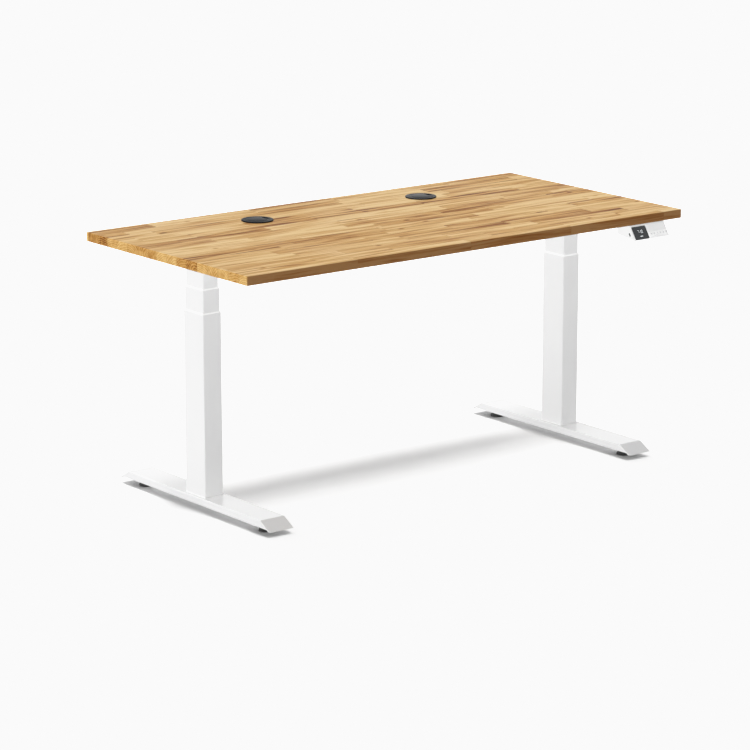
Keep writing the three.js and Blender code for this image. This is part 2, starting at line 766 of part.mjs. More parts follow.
function inletGeometry() {
  const wallFace = CONTROL_LENGTH / 2;
  const back = wallFace - INLET_BODY;
  const front = wallFace + SEAT_GAP + INLET_FLANGE_THICKNESS;
  const y = INLET_WIDTH / 2;
  const z = INLET_HEIGHT / 2;
  const body = block([back, -y, -z], [(wallFace + SEAT_GAP + front) / 2, y, z]);
  const flange = block(
    [wallFace + SEAT_GAP, -y - INLET_FLANGE, -z - INLET_FLANGE],
    [front, y + INLET_FLANGE, z + INLET_FLANGE],
  );
  const recess = block(
    [front - INLET_RECESS_DEPTH, INLET_RECESS_WALL - y, INLET_RECESS_WALL - z],
    [front + 1, y - INLET_RECESS_WALL, z - INLET_RECESS_WALL],
  );
  const floor = front - INLET_RECESS_DEPTH;
  const pins = INLET_PINS.map(([py, pz]) =>
    block(
      [floor - 1, py - INLET_PIN_WIDTH / 2, pz - INLET_PIN_HEIGHT / 2],
      [floor + INLET_PIN_LENGTH, py + INLET_PIN_WIDTH / 2, pz + INLET_PIN_HEIGHT / 2],
    ),
  );
  return join(cut(join(body, flange), recess), ...pins).translate(0, 0, controlMiddle);
}

const control = new THREE.Group();
control.position.y = CONTROL_CENTRE_Y;
desk.add(control);
add("control_box_shell", controlShellGeometry(), blackPlastic, control);
add("control_box_lid", controlLidGeometry(), bareSteel, control);
add("control_board", controlBoardGeometry(), circuitBoard, control);
add("mains_inlet", inletGeometry(), blackPlastic, control).position.y = inletY;

// ---------------------------------------------------------------- handset

// The handset's own frame starts at the middle of the face's upper edge.
const tilt = THREE.MathUtils.degToRad(HANDSET_TILT);
const handset = new THREE.Group();
const keyPitch = KEY_SIZE + KEY_SPACE;
const keyBarWidth = KEY_COUNT * keyPitch - KEY_SPACE + 2 * KEY_BAR_MARGIN;
const bezels = PANEL_FROM_END + PANEL_FROM_BAR + KEY_BAR_FROM_END;
const handsetWidth = PANEL_WIDTH + keyBarWidth + bezels;
const handsetX = TOP_LENGTH / 2 - HANDSET_FROM_END - handsetWidth / 2;
const handsetY = HANDSET_SETBACK - TOP_DEPTH / 2;
const handsetZ = underside - SEAT_GAP;
handset.position.set(handsetX, handsetY, handsetZ);
desk.add(handset);

// On the face, x runs along the desk, y up the slope and z out of it.
const faceTurn = new THREE.Matrix4().makeRotationX(Math.PI / 2 - tilt);
const onFace = (geometry) => geometry.applyMatrix4(faceTurn);
const halfWidth = handsetWidth / 2;

// Side view of the housing, moved inwards by a wall's thickness; the nose is rounded.
function handsetOutline(wall, top) {
  const front = [-HANDSET_FACE * Math.sin(tilt), -HANDSET_FACE * Math.cos(tilt)];
  const back = [HANDSET_BODY_DEPTH, -HANDSET_BACK_HEIGHT];
  const lean = Math.atan2(back[1] - front[1], back[0] - front[0]);
  const nose = Math.PI / 2 - tilt - lean; // angle between the face and the underside
  const inset = wall / Math.tan(nose / 2);
  const faceWay = new THREE.Vector2(Math.sin(tilt), Math.cos(tilt));
  const underWay = new THREE.Vector2(Math.cos(lean), Math.sin(lean));
  const tip = new THREE.Vector2(...front)
    .addScaledVector(faceWay, inset)
    .addScaledVector(new THREE.Vector2(faceWay.y, -faceWay.x), wall);
  const round = Math.max(HANDSET_NOSE_RADIUS - wall, 1);
  const rise = (top - tip.y) / faceWay.y;
  const reach = (HANDSET_BODY_DEPTH - wall - tip.x) / underWay.x;
  const points = [
    tip.clone().addScaledVector(faceWay, rise),
    tip.clone().addScaledVector(faceWay, round),
    tip.clone().addScaledVector(underWay, round),
    tip.clone().addScaledVector(underWay, reach),
  ];
  const shape = new THREE.Shape();
  shape.moveTo(points[0].x, points[0].y);
  shape.lineTo(points[1].x, points[1].y);
  shape.quadraticCurveTo(tip.x, tip.y, points[2].x, points[2].y);
  shape.lineTo(points[3].x, points[3].y);
  shape.lineTo(points[3].x, top);
  shape.closePath();
  return shape;
}

const tabReach = halfWidth - HANDSET_TAB_INSET;
const panelX = PANEL_FROM_END + PANEL_WIDTH / 2 - halfWidth;
const panelY = -PANEL_FROM_TOP - PANEL_LENGTH / 2;
const keyBarX = halfWidth - KEY_BAR_FROM_END - keyBarWidth / 2;
const keyX = (index) => keyBarX + (index - (KEY_COUNT - 1) / 2) * keyPitch;

function handsetHousingGeometry() {
  const shell = alongX(handsetOutline(0, 0), -halfWidth, halfWidth);
  const hollow = alongX(
    handsetOutline(HANDSET_WALL, 1),
    HANDSET_WALL - halfWidth,
    halfWidth - HANDSET_WALL,
  );
  const barTop = KEY_SIZE / 2 + KEY_BAR_ABOVE - KEY_CENTRE_FROM_TOP;
  const barBottom = -KEY_SIZE / 2 - KEY_BAR_BELOW - KEY_CENTRE_FROM_TOP;
  const bar = onFace(
    alongX(
      [
        [barBottom, -1],
        [barTop, -1],
        [barTop, 0],
        [barTop - KEY_BAR_RISE, KEY_BAR_RISE],
        [barBottom + KEY_BAR_RISE, KEY_BAR_RISE],
        [barBottom, 0],
      ].reverse(),
      keyBarX - keyBarWidth / 2,
      keyBarX + keyBarWidth / 2,
    ),
  );
  const panelPocket = onFace(
    raised(roundedRectangle(PANEL_WIDTH, PANEL_LENGTH, PANEL_CORNER), -PANEL_DEPTH, 2).translate(
      panelX,
      panelY,
      0,
    ),
  );
  const window = onFace(
    raised(
      roundedRectangle(PANEL_WIDTH - 2 * WINDOW_MARGIN, PANEL_LENGTH - 2 * WINDOW_MARGIN, 1),
      -2 * HANDSET_WALL,
      2,
    ).translate(panelX, panelY, 0),
  );
  const holeSize = KEY_SIZE + 2 * KEY_CLEARANCE;
  const holes = [];
  for (let index = 0; index < KEY_COUNT; index += 1) {
    const hole = raised(
      roundedRectangle(holeSize, holeSize, KEY_CORNER),
      -2 * HANDSET_WALL,
      2 * KEY_BAR_RISE,
      KEY_CORNER_STEPS,
    );
    holes.push(onFace(hole.translate(keyX(index), -KEY_CENTRE_FROM_TOP, 0)));
  }
  const portHole = onFace(
    block(
      [-halfWidth - 1, -PORT_LENGTH / 2 - SEAT_GAP, -PORT_HEIGHT / 2 - SEAT_GAP],
      [-halfWidth + 2 * HANDSET_WALL, PORT_LENGTH / 2 + SEAT_GAP, PORT_HEIGHT / 2 + SEAT_GAP],
    ).translate(0, -PORT_FROM_TOP, -PORT_DEPTH_IN),
  );
  const tabNotch = block(
    [-tabReach - 1, HANDSET_BODY_DEPTH - 2 * HANDSET_WALL, -HANDSET_BASE_THICKNESS - 1],
    [tabReach + 1, HANDSET_BODY_DEPTH + 1, 1],
  );
  const tools = [panelPocket, window, ...holes, portHole, tabNotch];
  return cut(join(cut(shell, hollow), bar), ...tools);
}

// Base plate that closes the housing; its tab behind takes the screws into the desktop.
function handsetBaseGeometry() {
  const front = HANDSET_WALL / Math.cos(tilt) + SEAT_GAP;
  const x = halfWidth - HANDSET_WALL - SEAT_GAP;
  const back = HANDSET_BODY_DEPTH - HANDSET_WALL - SEAT_GAP;
  const bottom = -HANDSET_BASE_THICKNESS;
  const plate = block([-x, front, bottom], [x, back, 0]);
  const tab = block(
    [-tabReach, front + 1, bottom],
    [tabReach, HANDSET_BODY_DEPTH + HANDSET_TAB, 0],
  );
  return join(plate, tab);
}

function panelGeometry() {
  const width = PANEL_WIDTH - 2 * PANEL_CLEARANCE;
  const length = PANEL_LENGTH - 2 * PANEL_CLEARANCE;
  const panel = raised(
    roundedRectangle(width, length, PANEL_CORNER - PANEL_CLEARANCE),
    SEAT_GAP - PANEL_DEPTH,
    PANEL_PROUD,
  );
  return onFace(panel.translate(panelX, panelY, 0));
}

function displayGeometry() {
  const x = PANEL_WIDTH / 2 - WINDOW_MARGIN - 1;
  const y = PANEL_LENGTH / 2 - WINDOW_MARGIN - DISPLAY_INSET;
  const module = block([-x, -y, SEAT_GAP - HANDSET_BOARD_DEPTH], [x, y, -PANEL_DEPTH]);
  return onFace(module.translate(panelX, panelY, 0));
}

function keyGeometry(index) {
  const lipTop = -HANDSET_WALL - SEAT_GAP;
  const lipBottom = lipTop - KEY_LIP_THICKNESS;
  const head = raised(
    roundedRectangle(KEY_SIZE, KEY_SIZE, KEY_CORNER),
    lipBottom,
    KEY_BAR_RISE + KEY_PROUD,
    KEY_CORNER_STEPS,
  );
  const lip = block(
    [-KEY_SIZE / 2, -KEY_SIZE / 2 - KEY_LIP, lipBottom],
    [KEY_SIZE / 2, KEY_SIZE / 2 + KEY_LIP, lipTop],
  );
  const post = disc(KEY_POST_RADIUS, lipBottom - KEY_POST_LENGTH, lipTop, ROUND_STEPS / 4);
  return onFace(join(head, lip, post).translate(keyX(index), -KEY_CENTRE_FROM_TOP, 0));
}

function handsetBoardGeometry() {
  const x = halfWidth - HANDSET_WALL - 2;
  const top = -HANDSET_BOARD_DEPTH;
  const board = block(
    [-x, -HANDSET_BOARD_FROM_TOP - HANDSET_BOARD_LENGTH, top - BOARD_THICKNESS],
    [x, -HANDSET_BOARD_FROM_TOP, top],
  );
  return onFace(board);
}

function portGeometry() {
  const start = -halfWidth;
  const body = block(
    [start, -PORT_LENGTH / 2, -PORT_HEIGHT / 2],
    [start + PORT_BODY, PORT_LENGTH / 2, PORT_HEIGHT / 2],
  );
  const recess = block(
    [start - 1, PORT_RIM - PORT_LENGTH / 2, PORT_RIM - PORT_HEIGHT / 2],
    [start + PORT_RECESS, PORT_LENGTH / 2 - PORT_RIM, PORT_HEIGHT / 2 - PORT_RIM],
  );
  return onFace(cut(body, recess).translate(0, -PORT_FROM_TOP, -PORT_DEPTH_IN));
}

add("handset_housing", handsetHousingGeometry(), whitePlastic, handset);
add("handset_base", handsetBaseGeometry(), whitePlastic, handset);
add("handset_panel", panelGeometry(), displayGlass, handset);
add("handset_display", displayGeometry(), blackPlastic, handset);
add("handset_board", handsetBoardGeometry(), circuitBoard, handset);
add("charging_port", portGeometry(), blackPlastic, handset);
for (let index = 0; index < KEY_COUNT; index += 1) {
  add(`handset_key_${index + 1}`, keyGeometry(index), whitePlastic, handset);
}

// ---------------------------------------------------------------- leads

// A round lead through hand-placed points, cut square at both ends.
function leadGeometry(points, radius) {
  const route = new THREE.CatmullRomCurve3(
    points.map((point) => new THREE.Vector3(...point)),
    false,
    "centripetal",
  );
  const section = new THREE.Shape();
  section.absarc(0, 0, radius, 0, 2 * Math.PI);
  return new THREE.ExtrudeGeometry(section, {
    steps: LEAD_STEPS,
    curveSegments: LEAD_SIDES / 2,
    extrudePath: route,
    bevelEnabled: false,
  });
}

const clipped = underside - 1; // the top of every lead where it runs along the desktop
const motorEnd = FOOT_SPACING / 2 - HEAD_REACH - 2 * SEAT_GAP - MOTOR_LENGTH;
const boxEnd = CONTROL_LENGTH / 2 + SEAT_GAP;
const motorLeadRun = clipped - MOTOR_LEAD_RADIUS;
const handsetLeadRun = clipped - HANDSET_LEAD_RADIUS;
const railY = RAIL_SPACING / 2;

// From the motor's end, over the rear rail and along the desktop to the control box.
function motorLeadPoints(sign, socketY) {
  return [
    [sign * motorEnd, 0, motorHeight],
    [sign * (motorEnd - 15), 0, motorHeight],
    [sign * (motorEnd - 40), 2, motorHeight + 5],
    [sign * (motorEnd - 62), 8, motorLeadRun - 2],
    [sign * (motorEnd - 80), railY - 12, motorLeadRun],
    [sign * (motorEnd - 95), railY, motorLeadRun],
    [sign * (motorEnd - 110), railY + 20, motorLeadRun],
    [sign * (motorEnd - 150), socketY - 8, motorLeadRun],
    [sign * (boxEnd + 90), socketY, motorLeadRun],
    [sign * (boxEnd + 50), socketY, motorLeadRun - 4],
    [sign * (boxEnd + 20), socketY, controlMiddle],
    [sign * boxEnd, socketY, controlMiddle],
  ];
}

// From the back of the handset, past the front of the arm, over both rails and on to the control box.
const handsetBack = handsetY + HANDSET_BODY_DEPTH + SEAT_GAP;
const handsetLeadX = handsetX - halfWidth + 14;
const handsetLeadZ = handsetZ - HANDSET_BACK_HEIGHT / 2;
const crossX = motorEnd - 34;
const handsetSocketY = CONTROL_CENTRE_Y - 10;
const armSide = FOOT_SPACING / 2 - ARM_WIDTH / 2;
const armFront = ARM_SETBACK - TOP_DEPTH / 2;
const handsetLeadPoints = [
  [handsetLeadX, handsetBack, handsetLeadZ],
  [handsetLeadX, handsetBack + 14, handsetLeadZ],
  [handsetLeadX - 2, handsetBack + 34, handsetLeadRun - 3],
  [armSide - 40, armFront - 7, handsetLeadRun],
  [crossX + 40, -160, handsetLeadRun],
  [crossX + 8, -100, handsetLeadRun],
  [crossX, -railY - 12, handsetLeadRun],
  [crossX, 0, handsetLeadRun],
  [crossX, railY + 12, handsetLeadRun],
  [crossX - 14, handsetSocketY - 34, handsetLeadRun],
  [crossX - 60, handsetSocketY, handsetLeadRun],
  [boxEnd + 90, handsetSocketY, handsetLeadRun],
  [boxEnd + 50, handsetSocketY, handsetLeadRun - 4],
  [boxEnd + 20, handsetSocketY, controlMiddle],
  [boxEnd, handsetSocketY, controlMiddle],
];

const leftSocketY = CONTROL_CENTRE_Y - 20;
const rightSocketY = CONTROL_CENTRE_Y - 34;
add("left_motor_lead", leadGeometry(motorLeadPoints(-1, leftSocketY), MOTOR_LEAD_RADIUS), rubber);
add("right_motor_lead", leadGeometry(motorLeadPoints(1, rightSocketY), MOTOR_LEAD_RADIUS), rubber);
add("handset_lead", leadGeometry(handsetLeadPoints, HANDSET_LEAD_RADIUS), rubber);

// The origin is under the middle of the whole outline, which the handset's nose carries forward.
part.updateMatrixWorld(true);
const nose = new THREE.Box3().setFromObject(handset, true).min.y;
desk.position.y = -(nose + TOP_DEPTH / 2) / 2;

export default part;
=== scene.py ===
"""Looks of a height adjustable standing desk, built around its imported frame.

The desk is a solid timber top on two three-stage steel columns. Lengths are in metres, +Z is up
and the user sits on the -Y side. Every piece takes its place from the nodes of the frame.
"""

import json
import logging
import math
from abc import ABC, abstractmethod
from dataclasses import dataclass
from enum import Enum
from typing import Iterable, Sequence, Union

import bmesh
import bpy
from mathutils import Matrix, Vector

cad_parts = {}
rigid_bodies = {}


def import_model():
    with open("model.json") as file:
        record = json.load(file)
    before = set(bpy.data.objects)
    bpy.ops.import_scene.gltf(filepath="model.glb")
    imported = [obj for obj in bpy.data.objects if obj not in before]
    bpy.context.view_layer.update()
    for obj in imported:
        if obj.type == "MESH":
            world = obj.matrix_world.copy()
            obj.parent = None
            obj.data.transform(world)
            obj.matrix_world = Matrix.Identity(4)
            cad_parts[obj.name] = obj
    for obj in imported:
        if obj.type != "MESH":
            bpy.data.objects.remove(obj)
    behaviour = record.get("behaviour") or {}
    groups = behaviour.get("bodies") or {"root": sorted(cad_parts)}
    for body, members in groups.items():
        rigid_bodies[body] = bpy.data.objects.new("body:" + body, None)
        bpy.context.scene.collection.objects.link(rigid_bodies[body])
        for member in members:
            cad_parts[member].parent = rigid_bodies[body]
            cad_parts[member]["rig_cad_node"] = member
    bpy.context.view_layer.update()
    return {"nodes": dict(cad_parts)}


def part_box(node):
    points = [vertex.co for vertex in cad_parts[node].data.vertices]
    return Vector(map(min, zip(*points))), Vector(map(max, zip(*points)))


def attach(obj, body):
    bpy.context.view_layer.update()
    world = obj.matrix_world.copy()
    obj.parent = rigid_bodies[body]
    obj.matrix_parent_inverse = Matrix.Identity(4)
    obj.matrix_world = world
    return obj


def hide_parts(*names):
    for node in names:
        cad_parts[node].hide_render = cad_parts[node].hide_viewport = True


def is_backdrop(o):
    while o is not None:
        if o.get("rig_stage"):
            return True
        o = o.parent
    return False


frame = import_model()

LOG = logging.getLogger("standing_desk")

Point = tuple[float, float]
Feed = Union[bpy.types.NodeSocket, float, tuple]


class Slot(Enum):
    """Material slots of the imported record."""

    STEEL = "white_steel"
    RUBBER = "leveler_rubber"
    SCREW = "screw_steel"
    GUIDE = "guide_plastic"
    MOTOR = "motor_zinc"
    PLASTIC = "black_plastic"
    LEAD = "lead_rubber"
    TIMBER = "timber"
    CONTROL = "control_black"
    LID = "lid_steel"
    CIRCUIT = "circuit_board"
    SOCKET = "socket_black"
    HANDSET = "handset_white"
    KEY = "key_white"
    GLASS = "display_glass"


class Side(Enum):
    """The two columns, with the sign of their place along X."""

    LEFT = -1
    RIGHT = 1

    @property
    def word(self) -> str:
        """The name that the frame's nodes start with."""
        return self.name.lower()


class Stage(Enum):
    """The tubes of a column, from the outside in, and the body each rides on."""

    OUTER = "base"
    MIDDLE = "middle"
    INNER = "top"


# ------------------------------------------------------------------------ node trees


class Graph:
    """Adds nodes to one node tree and links them."""

    def __init__(self, tree: bpy.types.NodeTree) -> None:
        """Keeps the tree.

        Args:
            tree: the node tree that every node is added to.
        """
        self.tree = tree

    def node(self, kind: str, **settings: object) -> bpy.types.Node:
        """Adds a node.

        Args:
            kind: the node's type name.
            settings: attributes of the node itself.

        Returns:
            The new node.
        """
        made = self.tree.nodes.new(kind)
        for name, value in settings.items():
            setattr(made, name, value)
        return made

    def feed(self, socket: bpy.types.NodeSocket, value: Feed) -> None:
        """Links a socket to its source, or sets the value it holds.

        Args:
            socket: the input.
            value: an output to link, or a plain value.
        """
        if isinstance(value, bpy.types.NodeSocket):
            self.tree.links.new(value, socket)
        else:
            socket.default_value = value

    def math(self, operation: str, *values: Feed, clamp: bool = False) -> bpy.types.NodeSocket:
        """Adds a math node.

        Args:
            operation: the node's operation.
            values: its inputs, in order.
            clamp: whether the result stays between 0 and 1.

        Returns:
            The result.
        """
        made = self.node("ShaderNodeMath", operation=operation, use_clamp=clamp)
        for socket, value in zip(made.inputs, values):
            self.feed(socket, value)
        return made.outputs[0]

    def span(self, value: Feed, low: float, high: float, first: float, last: float) -> bpy.types.NodeSocket:
        """Maps one range of values onto another and stays inside it.

        Args:
            value: what is mapped.
            low: the value that gives first.
            high: the value that gives last.
            first: the result at low.
            last: the result at high.

        Returns:
            The mapped value.
        """
        made = self.node("ShaderNodeMapRange")
        for name, given in zip(
            ("Value", "From Min", "From Max", "To Min", "To Max"), (value, low, high, first, last)
        ):
            self.feed(made.inputs[name], given)
        return made.outputs["Result"]

    def vector(self, x: Feed, y: Feed, z: Feed) -> bpy.types.NodeSocket:
        """Joins three values into a vector.

        Args:
            x: the first value.
            y: the second value.
            z: the third value.

        Returns:
            The vector.
        """
        made = self.node("ShaderNodeCombineXYZ")
        for socket, value in zip(made.inputs, (x, y, z)):
            self.feed(socket, value)
        return made.outputs[0]

    def parts(self, vector: Feed) -> tuple[bpy.types.NodeSocket, ...]:
        """Splits a vector.

        Args:
            vector: the vector or colour.

        Returns:
            Its three values.
        """
        made = self.node("ShaderNodeSeparateXYZ")
        self.feed(made.inputs[0], vector)
        return tuple(made.outputs)

    def vector_math(self, operation: str, first: Feed, second: Feed) -> bpy.types.Node:
        """Adds a vector math node.

        Args:
            operation: the node's operation.
            first: the first vector.
            second: the second vector.

        Returns:
            The node, whose result is a vector or a value.
        """
        made = self.node("ShaderNodeVectorMath", operation=operation)
        self.feed(made.inputs[0], first)
        self.feed(made.inputs[1], second)
        return made

    def blend(self, share: Feed, first: Feed, second: Feed, mode: str = "MIX") -> bpy.types.NodeSocket:
        """Blends two colours.

        Args:
            share: how much of the second colour shows.
            first: the first colour.
            second: the second colour.
            mode: the blend type.

        Returns:
            The blended colour.
        """
        made = self.node("ShaderNodeMix", data_type="RGBA", blend_type=mode)
        self.feed(made.inputs["Factor"], share)
        self.feed(made.inputs[6], first)
        self.feed(made.inputs[7], second)
        return made.outputs[2]

    def ramp(self, value: Feed, stops: Sequence[tuple[float, tuple]]) -> bpy.types.NodeSocket:
        """Adds a colour ramp.

        Args:
            value: where on the ramp the colour is read.
            stops: the places and their colours.

        Returns:
            The colour.
        """
        made = self.node("ShaderNodeValToRGB")
        elements = made.color_ramp.elements
        while len(elements) < len(stops):
            elements.new(0.5)
        for element, (place, colour) in zip(elements, stops):
            element.position = place
            element.color = (*colour, 1)
        self.feed(made.inputs[0], value)
        return made.outputs[0]

    def noise(
        self, vector: Feed, scale: Feed, detail: float = 2, distortion: float = 0
    ) -> bpy.types.NodeSocket:
        """Adds a noise texture.

        Args:
            vector: where it is read.
            scale: waves in a metre.
            detail: number of finer layers.
            distortion: how much the waves wander.

        Returns:
            The noise, about 0 to 1.
        """
        made = self.node("ShaderNodeTexNoise")
        self.feed(made.inputs["Vector"], vector)
        self.feed(made.inputs["Scale"], scale)
        self.feed(made.inputs["Detail"], detail)
        self.feed(made.inputs["Distortion"], distortion)
        return made.outputs[0]

    def place(self) -> bpy.types.NodeSocket:
        """The point on the piece, in the desk's own frame."""
        return self.node("ShaderNodeTexCoord").outputs["Object"]

    def bump(self, height: Feed, strength: float, distance: float) -> bpy.types.NodeSocket:
        """Adds a bump node.

        Args:
            height: the height, 0 to 1.
            strength: how much of it shows.
            distance: what a height of 1 means.

        Returns:
            The bent normal.
        """
        made = self.node("ShaderNodeBump")
        self.feed(made.inputs["Height"], height)
        self.feed(made.inputs["Strength"], strength)
        self.feed(made.inputs["Distance"], distance)
        return made.outputs[0]


class Effect(Enum):
    """Shader node groups that several finishes share."""

    WORN_EDGES = "Worn Edges"
    FINE_SURFACE = "Fine Surface"
    HANDLING = "Handling"


class Effects:
    """Builds each shared node group once."""

    FLOAT = "NodeSocketFloat"
    VECTOR = "NodeSocketVector"

    def group(self, effect: Effect) -> bpy.types.NodeTree:
        """Finds a shared group, and builds it the first time.

        Args:
            effect: which group.

        Returns:
            The group's node tree.
        """
        found = bpy.data.node_groups.get(effect.value)
        if found:
            return found
        makers = {
            Effect.WORN_EDGES: self.worn_edges,
            Effect.FINE_SURFACE: self.fine_surface,
            Effect.HANDLING: self.handling,
        }
        return makers[effect](effect.value)

    def start(
        self, name: str, inputs: dict[str, tuple[str, Feed]], outputs: Sequence[str]
    ) -> tuple[Graph, bpy.types.Node, bpy.types.Node]:
        """Makes an empty group with its sockets.

        Args:
            name: the group's name.
            inputs: for each input its socket type and its usual value.
            outputs: names of the values it puts out.

        Returns:
            The graph, the node that gives the inputs and the node that takes the outputs.
        """
        tree = bpy.data.node_groups.new(name, "ShaderNodeTree")
        for label, (kind, usual) in inputs.items():
            socket = tree.interface.new_socket(name=label, in_out="INPUT", socket_type=kind)
            socket.default_value = usual
        for label in outputs:
            tree.interface.new_socket(name=label, in_out="OUTPUT", socket_type=self.FLOAT)
        graph = Graph(tree)
        return graph, graph.node("NodeGroupInput"), graph.node("NodeGroupOutput")

    def worn_edges(self, name: str) -> bpy.types.NodeTree:
        """Builds the mask of rounded edges, where the rounded normal leaves the surface's own: rubbed wear on
        most finishes, a painted highlight on the white ones.

        Args:
            name: the group's name.

        Returns:
            The group's node tree.
        """
        graph, given, result = self.start(
            name,
            {"Radius": (self.FLOAT, 0.001), "Patches": (self.FLOAT, 60.0), "Strength": (self.FLOAT, 1.0)},
            ["Mask"],
        )
        rounded = graph.node("ShaderNodeBevel", samples=4)
        graph.feed(rounded.inputs["Radius"], given.outputs["Radius"])
        surface = graph.node("ShaderNodeNewGeometry").outputs["Normal"]
        along = graph.vector_math("DOT_PRODUCT", rounded.outputs[0], surface).outputs["Value"]
        edge = graph.math("MULTIPLY", graph.math("SUBTRACT", 1.0, along), 6.0, clamp=True)
        patches = graph.noise(graph.place(), given.outputs["Patches"], 3)
        patchy = graph.math("MULTIPLY", edge, graph.span(patches, 0.35, 0.65, 0.3, 1.0))
        mask = graph.math("MULTIPLY", patchy, given.outputs["Strength"], clamp=True)
        graph.feed(result.inputs["Mask"], mask)
        return graph.tree

    def fine_surface(self, name: str) -> bpy.types.NodeTree:
        """Builds the fine relief of a moulded, coated or brushed surface.

        Args:
            name: the group's name.

        Returns:
            The group's node tree.
        """
        graph, given, result = self.start(
            name,
            {
                "Stretch": (self.VECTOR, (1.0, 1.0, 1.0)),
                "Scale": (self.FLOAT, 800.0),
                "Detail": (self.FLOAT, 2.0),
            },
            ["Height"],
        )
        stretched = graph.vector_math("MULTIPLY", graph.place(), given.outputs["Stretch"]).outputs[0]
        graph.feed(
            result.inputs["Height"],
            graph.noise(stretched, given.outputs["Scale"], given.outputs["Detail"]),
        )
        return graph.tree

    def handling(self, name: str) -> bpy.types.NodeTree:
        """Builds the slow change of gloss that wiping and touching leave.

        Args:
            name: the group's name.

        Returns:
            The group's node tree.
        """
        graph, given, result = self.start(
            name,
            {"Scale": (self.FLOAT, 6.0), "Low": (self.FLOAT, 0.3), "High": (self.FLOAT, 0.4)},
            ["Roughness"],
        )
        patches = graph.noise(graph.place(), given.outputs["Scale"], 4, 0.4)
        share = graph.span(patches, 0.35, 0.65, 0.0, 1.0)
        width = graph.math("SUBTRACT", given.outputs["High"], given.outputs["Low"])
        graph.feed(
            result.inputs["Roughness"],
            graph.math("MULTIPLY_ADD", share, width, given.outputs["Low"]),
        )
        return graph.tree


EFFECTS = Effects()


# ------------------------------------------------------------------------ finishes


@dataclass(frozen=True)
class Finish(ABC):
    """A surface finish: one material and the record's slot that it stands for."""

    name: str
    slot: Slot

    @abstractmethod
    def paint(self, graph: Graph, shader: bpy.types.Node) -> None:
        """Fills the material's nodes.

        Args:
            graph: the material's graph.
            shader: its Principled BSDF.
        """

    def material(self) -> bpy.types.Material:
        """Finds the material, and makes it the first time."""
        found = bpy.data.materials.get(self.name)
        if found:
            return found
        made = bpy.data.materials.new(self.name)
        made.use_nodes = True
        self.paint(Graph(made.node_tree), made.node_tree.nodes["Principled BSDF"])
        return made

    def apply(self, piece: bpy.types.Object) -> None:
        """Gives a piece this finish.

        Args:
            piece: a piece of the desk or a node of the frame.
        """
        if not piece.material_slots:
            piece.data.materials.append(None)
        for place in piece.material_slots:
            place.material = self.material()

    def effect(self, graph: Graph, effect: Effect, **values: Feed) -> bpy.types.NodeSocket:
        """Places a shared group in the material.

        Args:
            graph: the material's graph.
            effect: which group.
            values: its inputs, named as its sockets are.

        Returns:
            The group's first output.
        """
        made = graph.node("ShaderNodeGroup", node_tree=EFFECTS.group(effect))
        for label, value in values.items():
            graph.feed(made.inputs[label], value)
        return made.outputs[0]


@dataclass(frozen=True)
class Coating(Finish):
    """An opaque coat: powder paint, moulded plastic, rubber or bare metal."""

    colour: tuple[float, float, float]
    # Colour at the rounded edges: rubbed wear on the dark and metal finishes, a painted highlight on the
    # white finishes, whose edges are lighter.
    edge_colour: tuple[float, float, float]
    gloss: tuple[float, float]
    metallic: float = 0.0
    edge_radius: float = 0.0008
    edge_share: float = 0.5
    grain: tuple[float, float, float] = (1.0, 1.0, 1.0)
    grain_scale: float = 900.0
    grain_depth: float = 0.00004
    mottle: float = 0.03
    coat: float = 0.0
    specular: float = 0.5

    def paint(self, graph: Graph, shader: bpy.types.Node) -> None:
        """Fills the material's nodes.

        Args:
            graph: the material's graph.
            shader: its Principled BSDF.
        """
        relief = self.effect(
            graph, Effect.FINE_SURFACE, Stretch=self.grain, Scale=self.grain_scale, Detail=2.0
        )
        slow = self.effect(graph, Effect.FINE_SURFACE, Stretch=self.grain, Scale=9.0, Detail=3.0)
        shade = graph.span(slow, 0.3, 0.7, 1.0 - self.mottle, 1.0 + self.mottle)
        tone = graph.vector_math("MULTIPLY", self.colour, graph.vector(shade, shade, shade)).outputs[0]
        # Rounded edges take the edge colour, which is rubbed wear on dark and metal finishes and a painted
        # highlight on white ones.
        edge_mask = self.effect(graph, Effect.WORN_EDGES, Radius=self.edge_radius, Strength=self.edge_share)
        graph.feed(shader.inputs["Base Color"], graph.blend(edge_mask, tone, (*self.edge_colour, 1)))
        low, high = self.gloss
        rough = self.effect(graph, Effect.HANDLING, Scale=7.0, Low=low, High=high)
        graph.feed(shader.inputs["Roughness"], graph.math("MULTIPLY_ADD", relief, 0.04, rough))
        graph.feed(shader.inputs["Normal"], graph.bump(relief, 0.6, self.grain_depth))
        shader.inputs["Metallic"].default_value = self.metallic
        shader.inputs["Specular IOR Level"].default_value = self.specular
        shader.inputs["Coat Weight"].default_value = self.coat
        shader.inputs["Coat Roughness"].default_value = 0.12


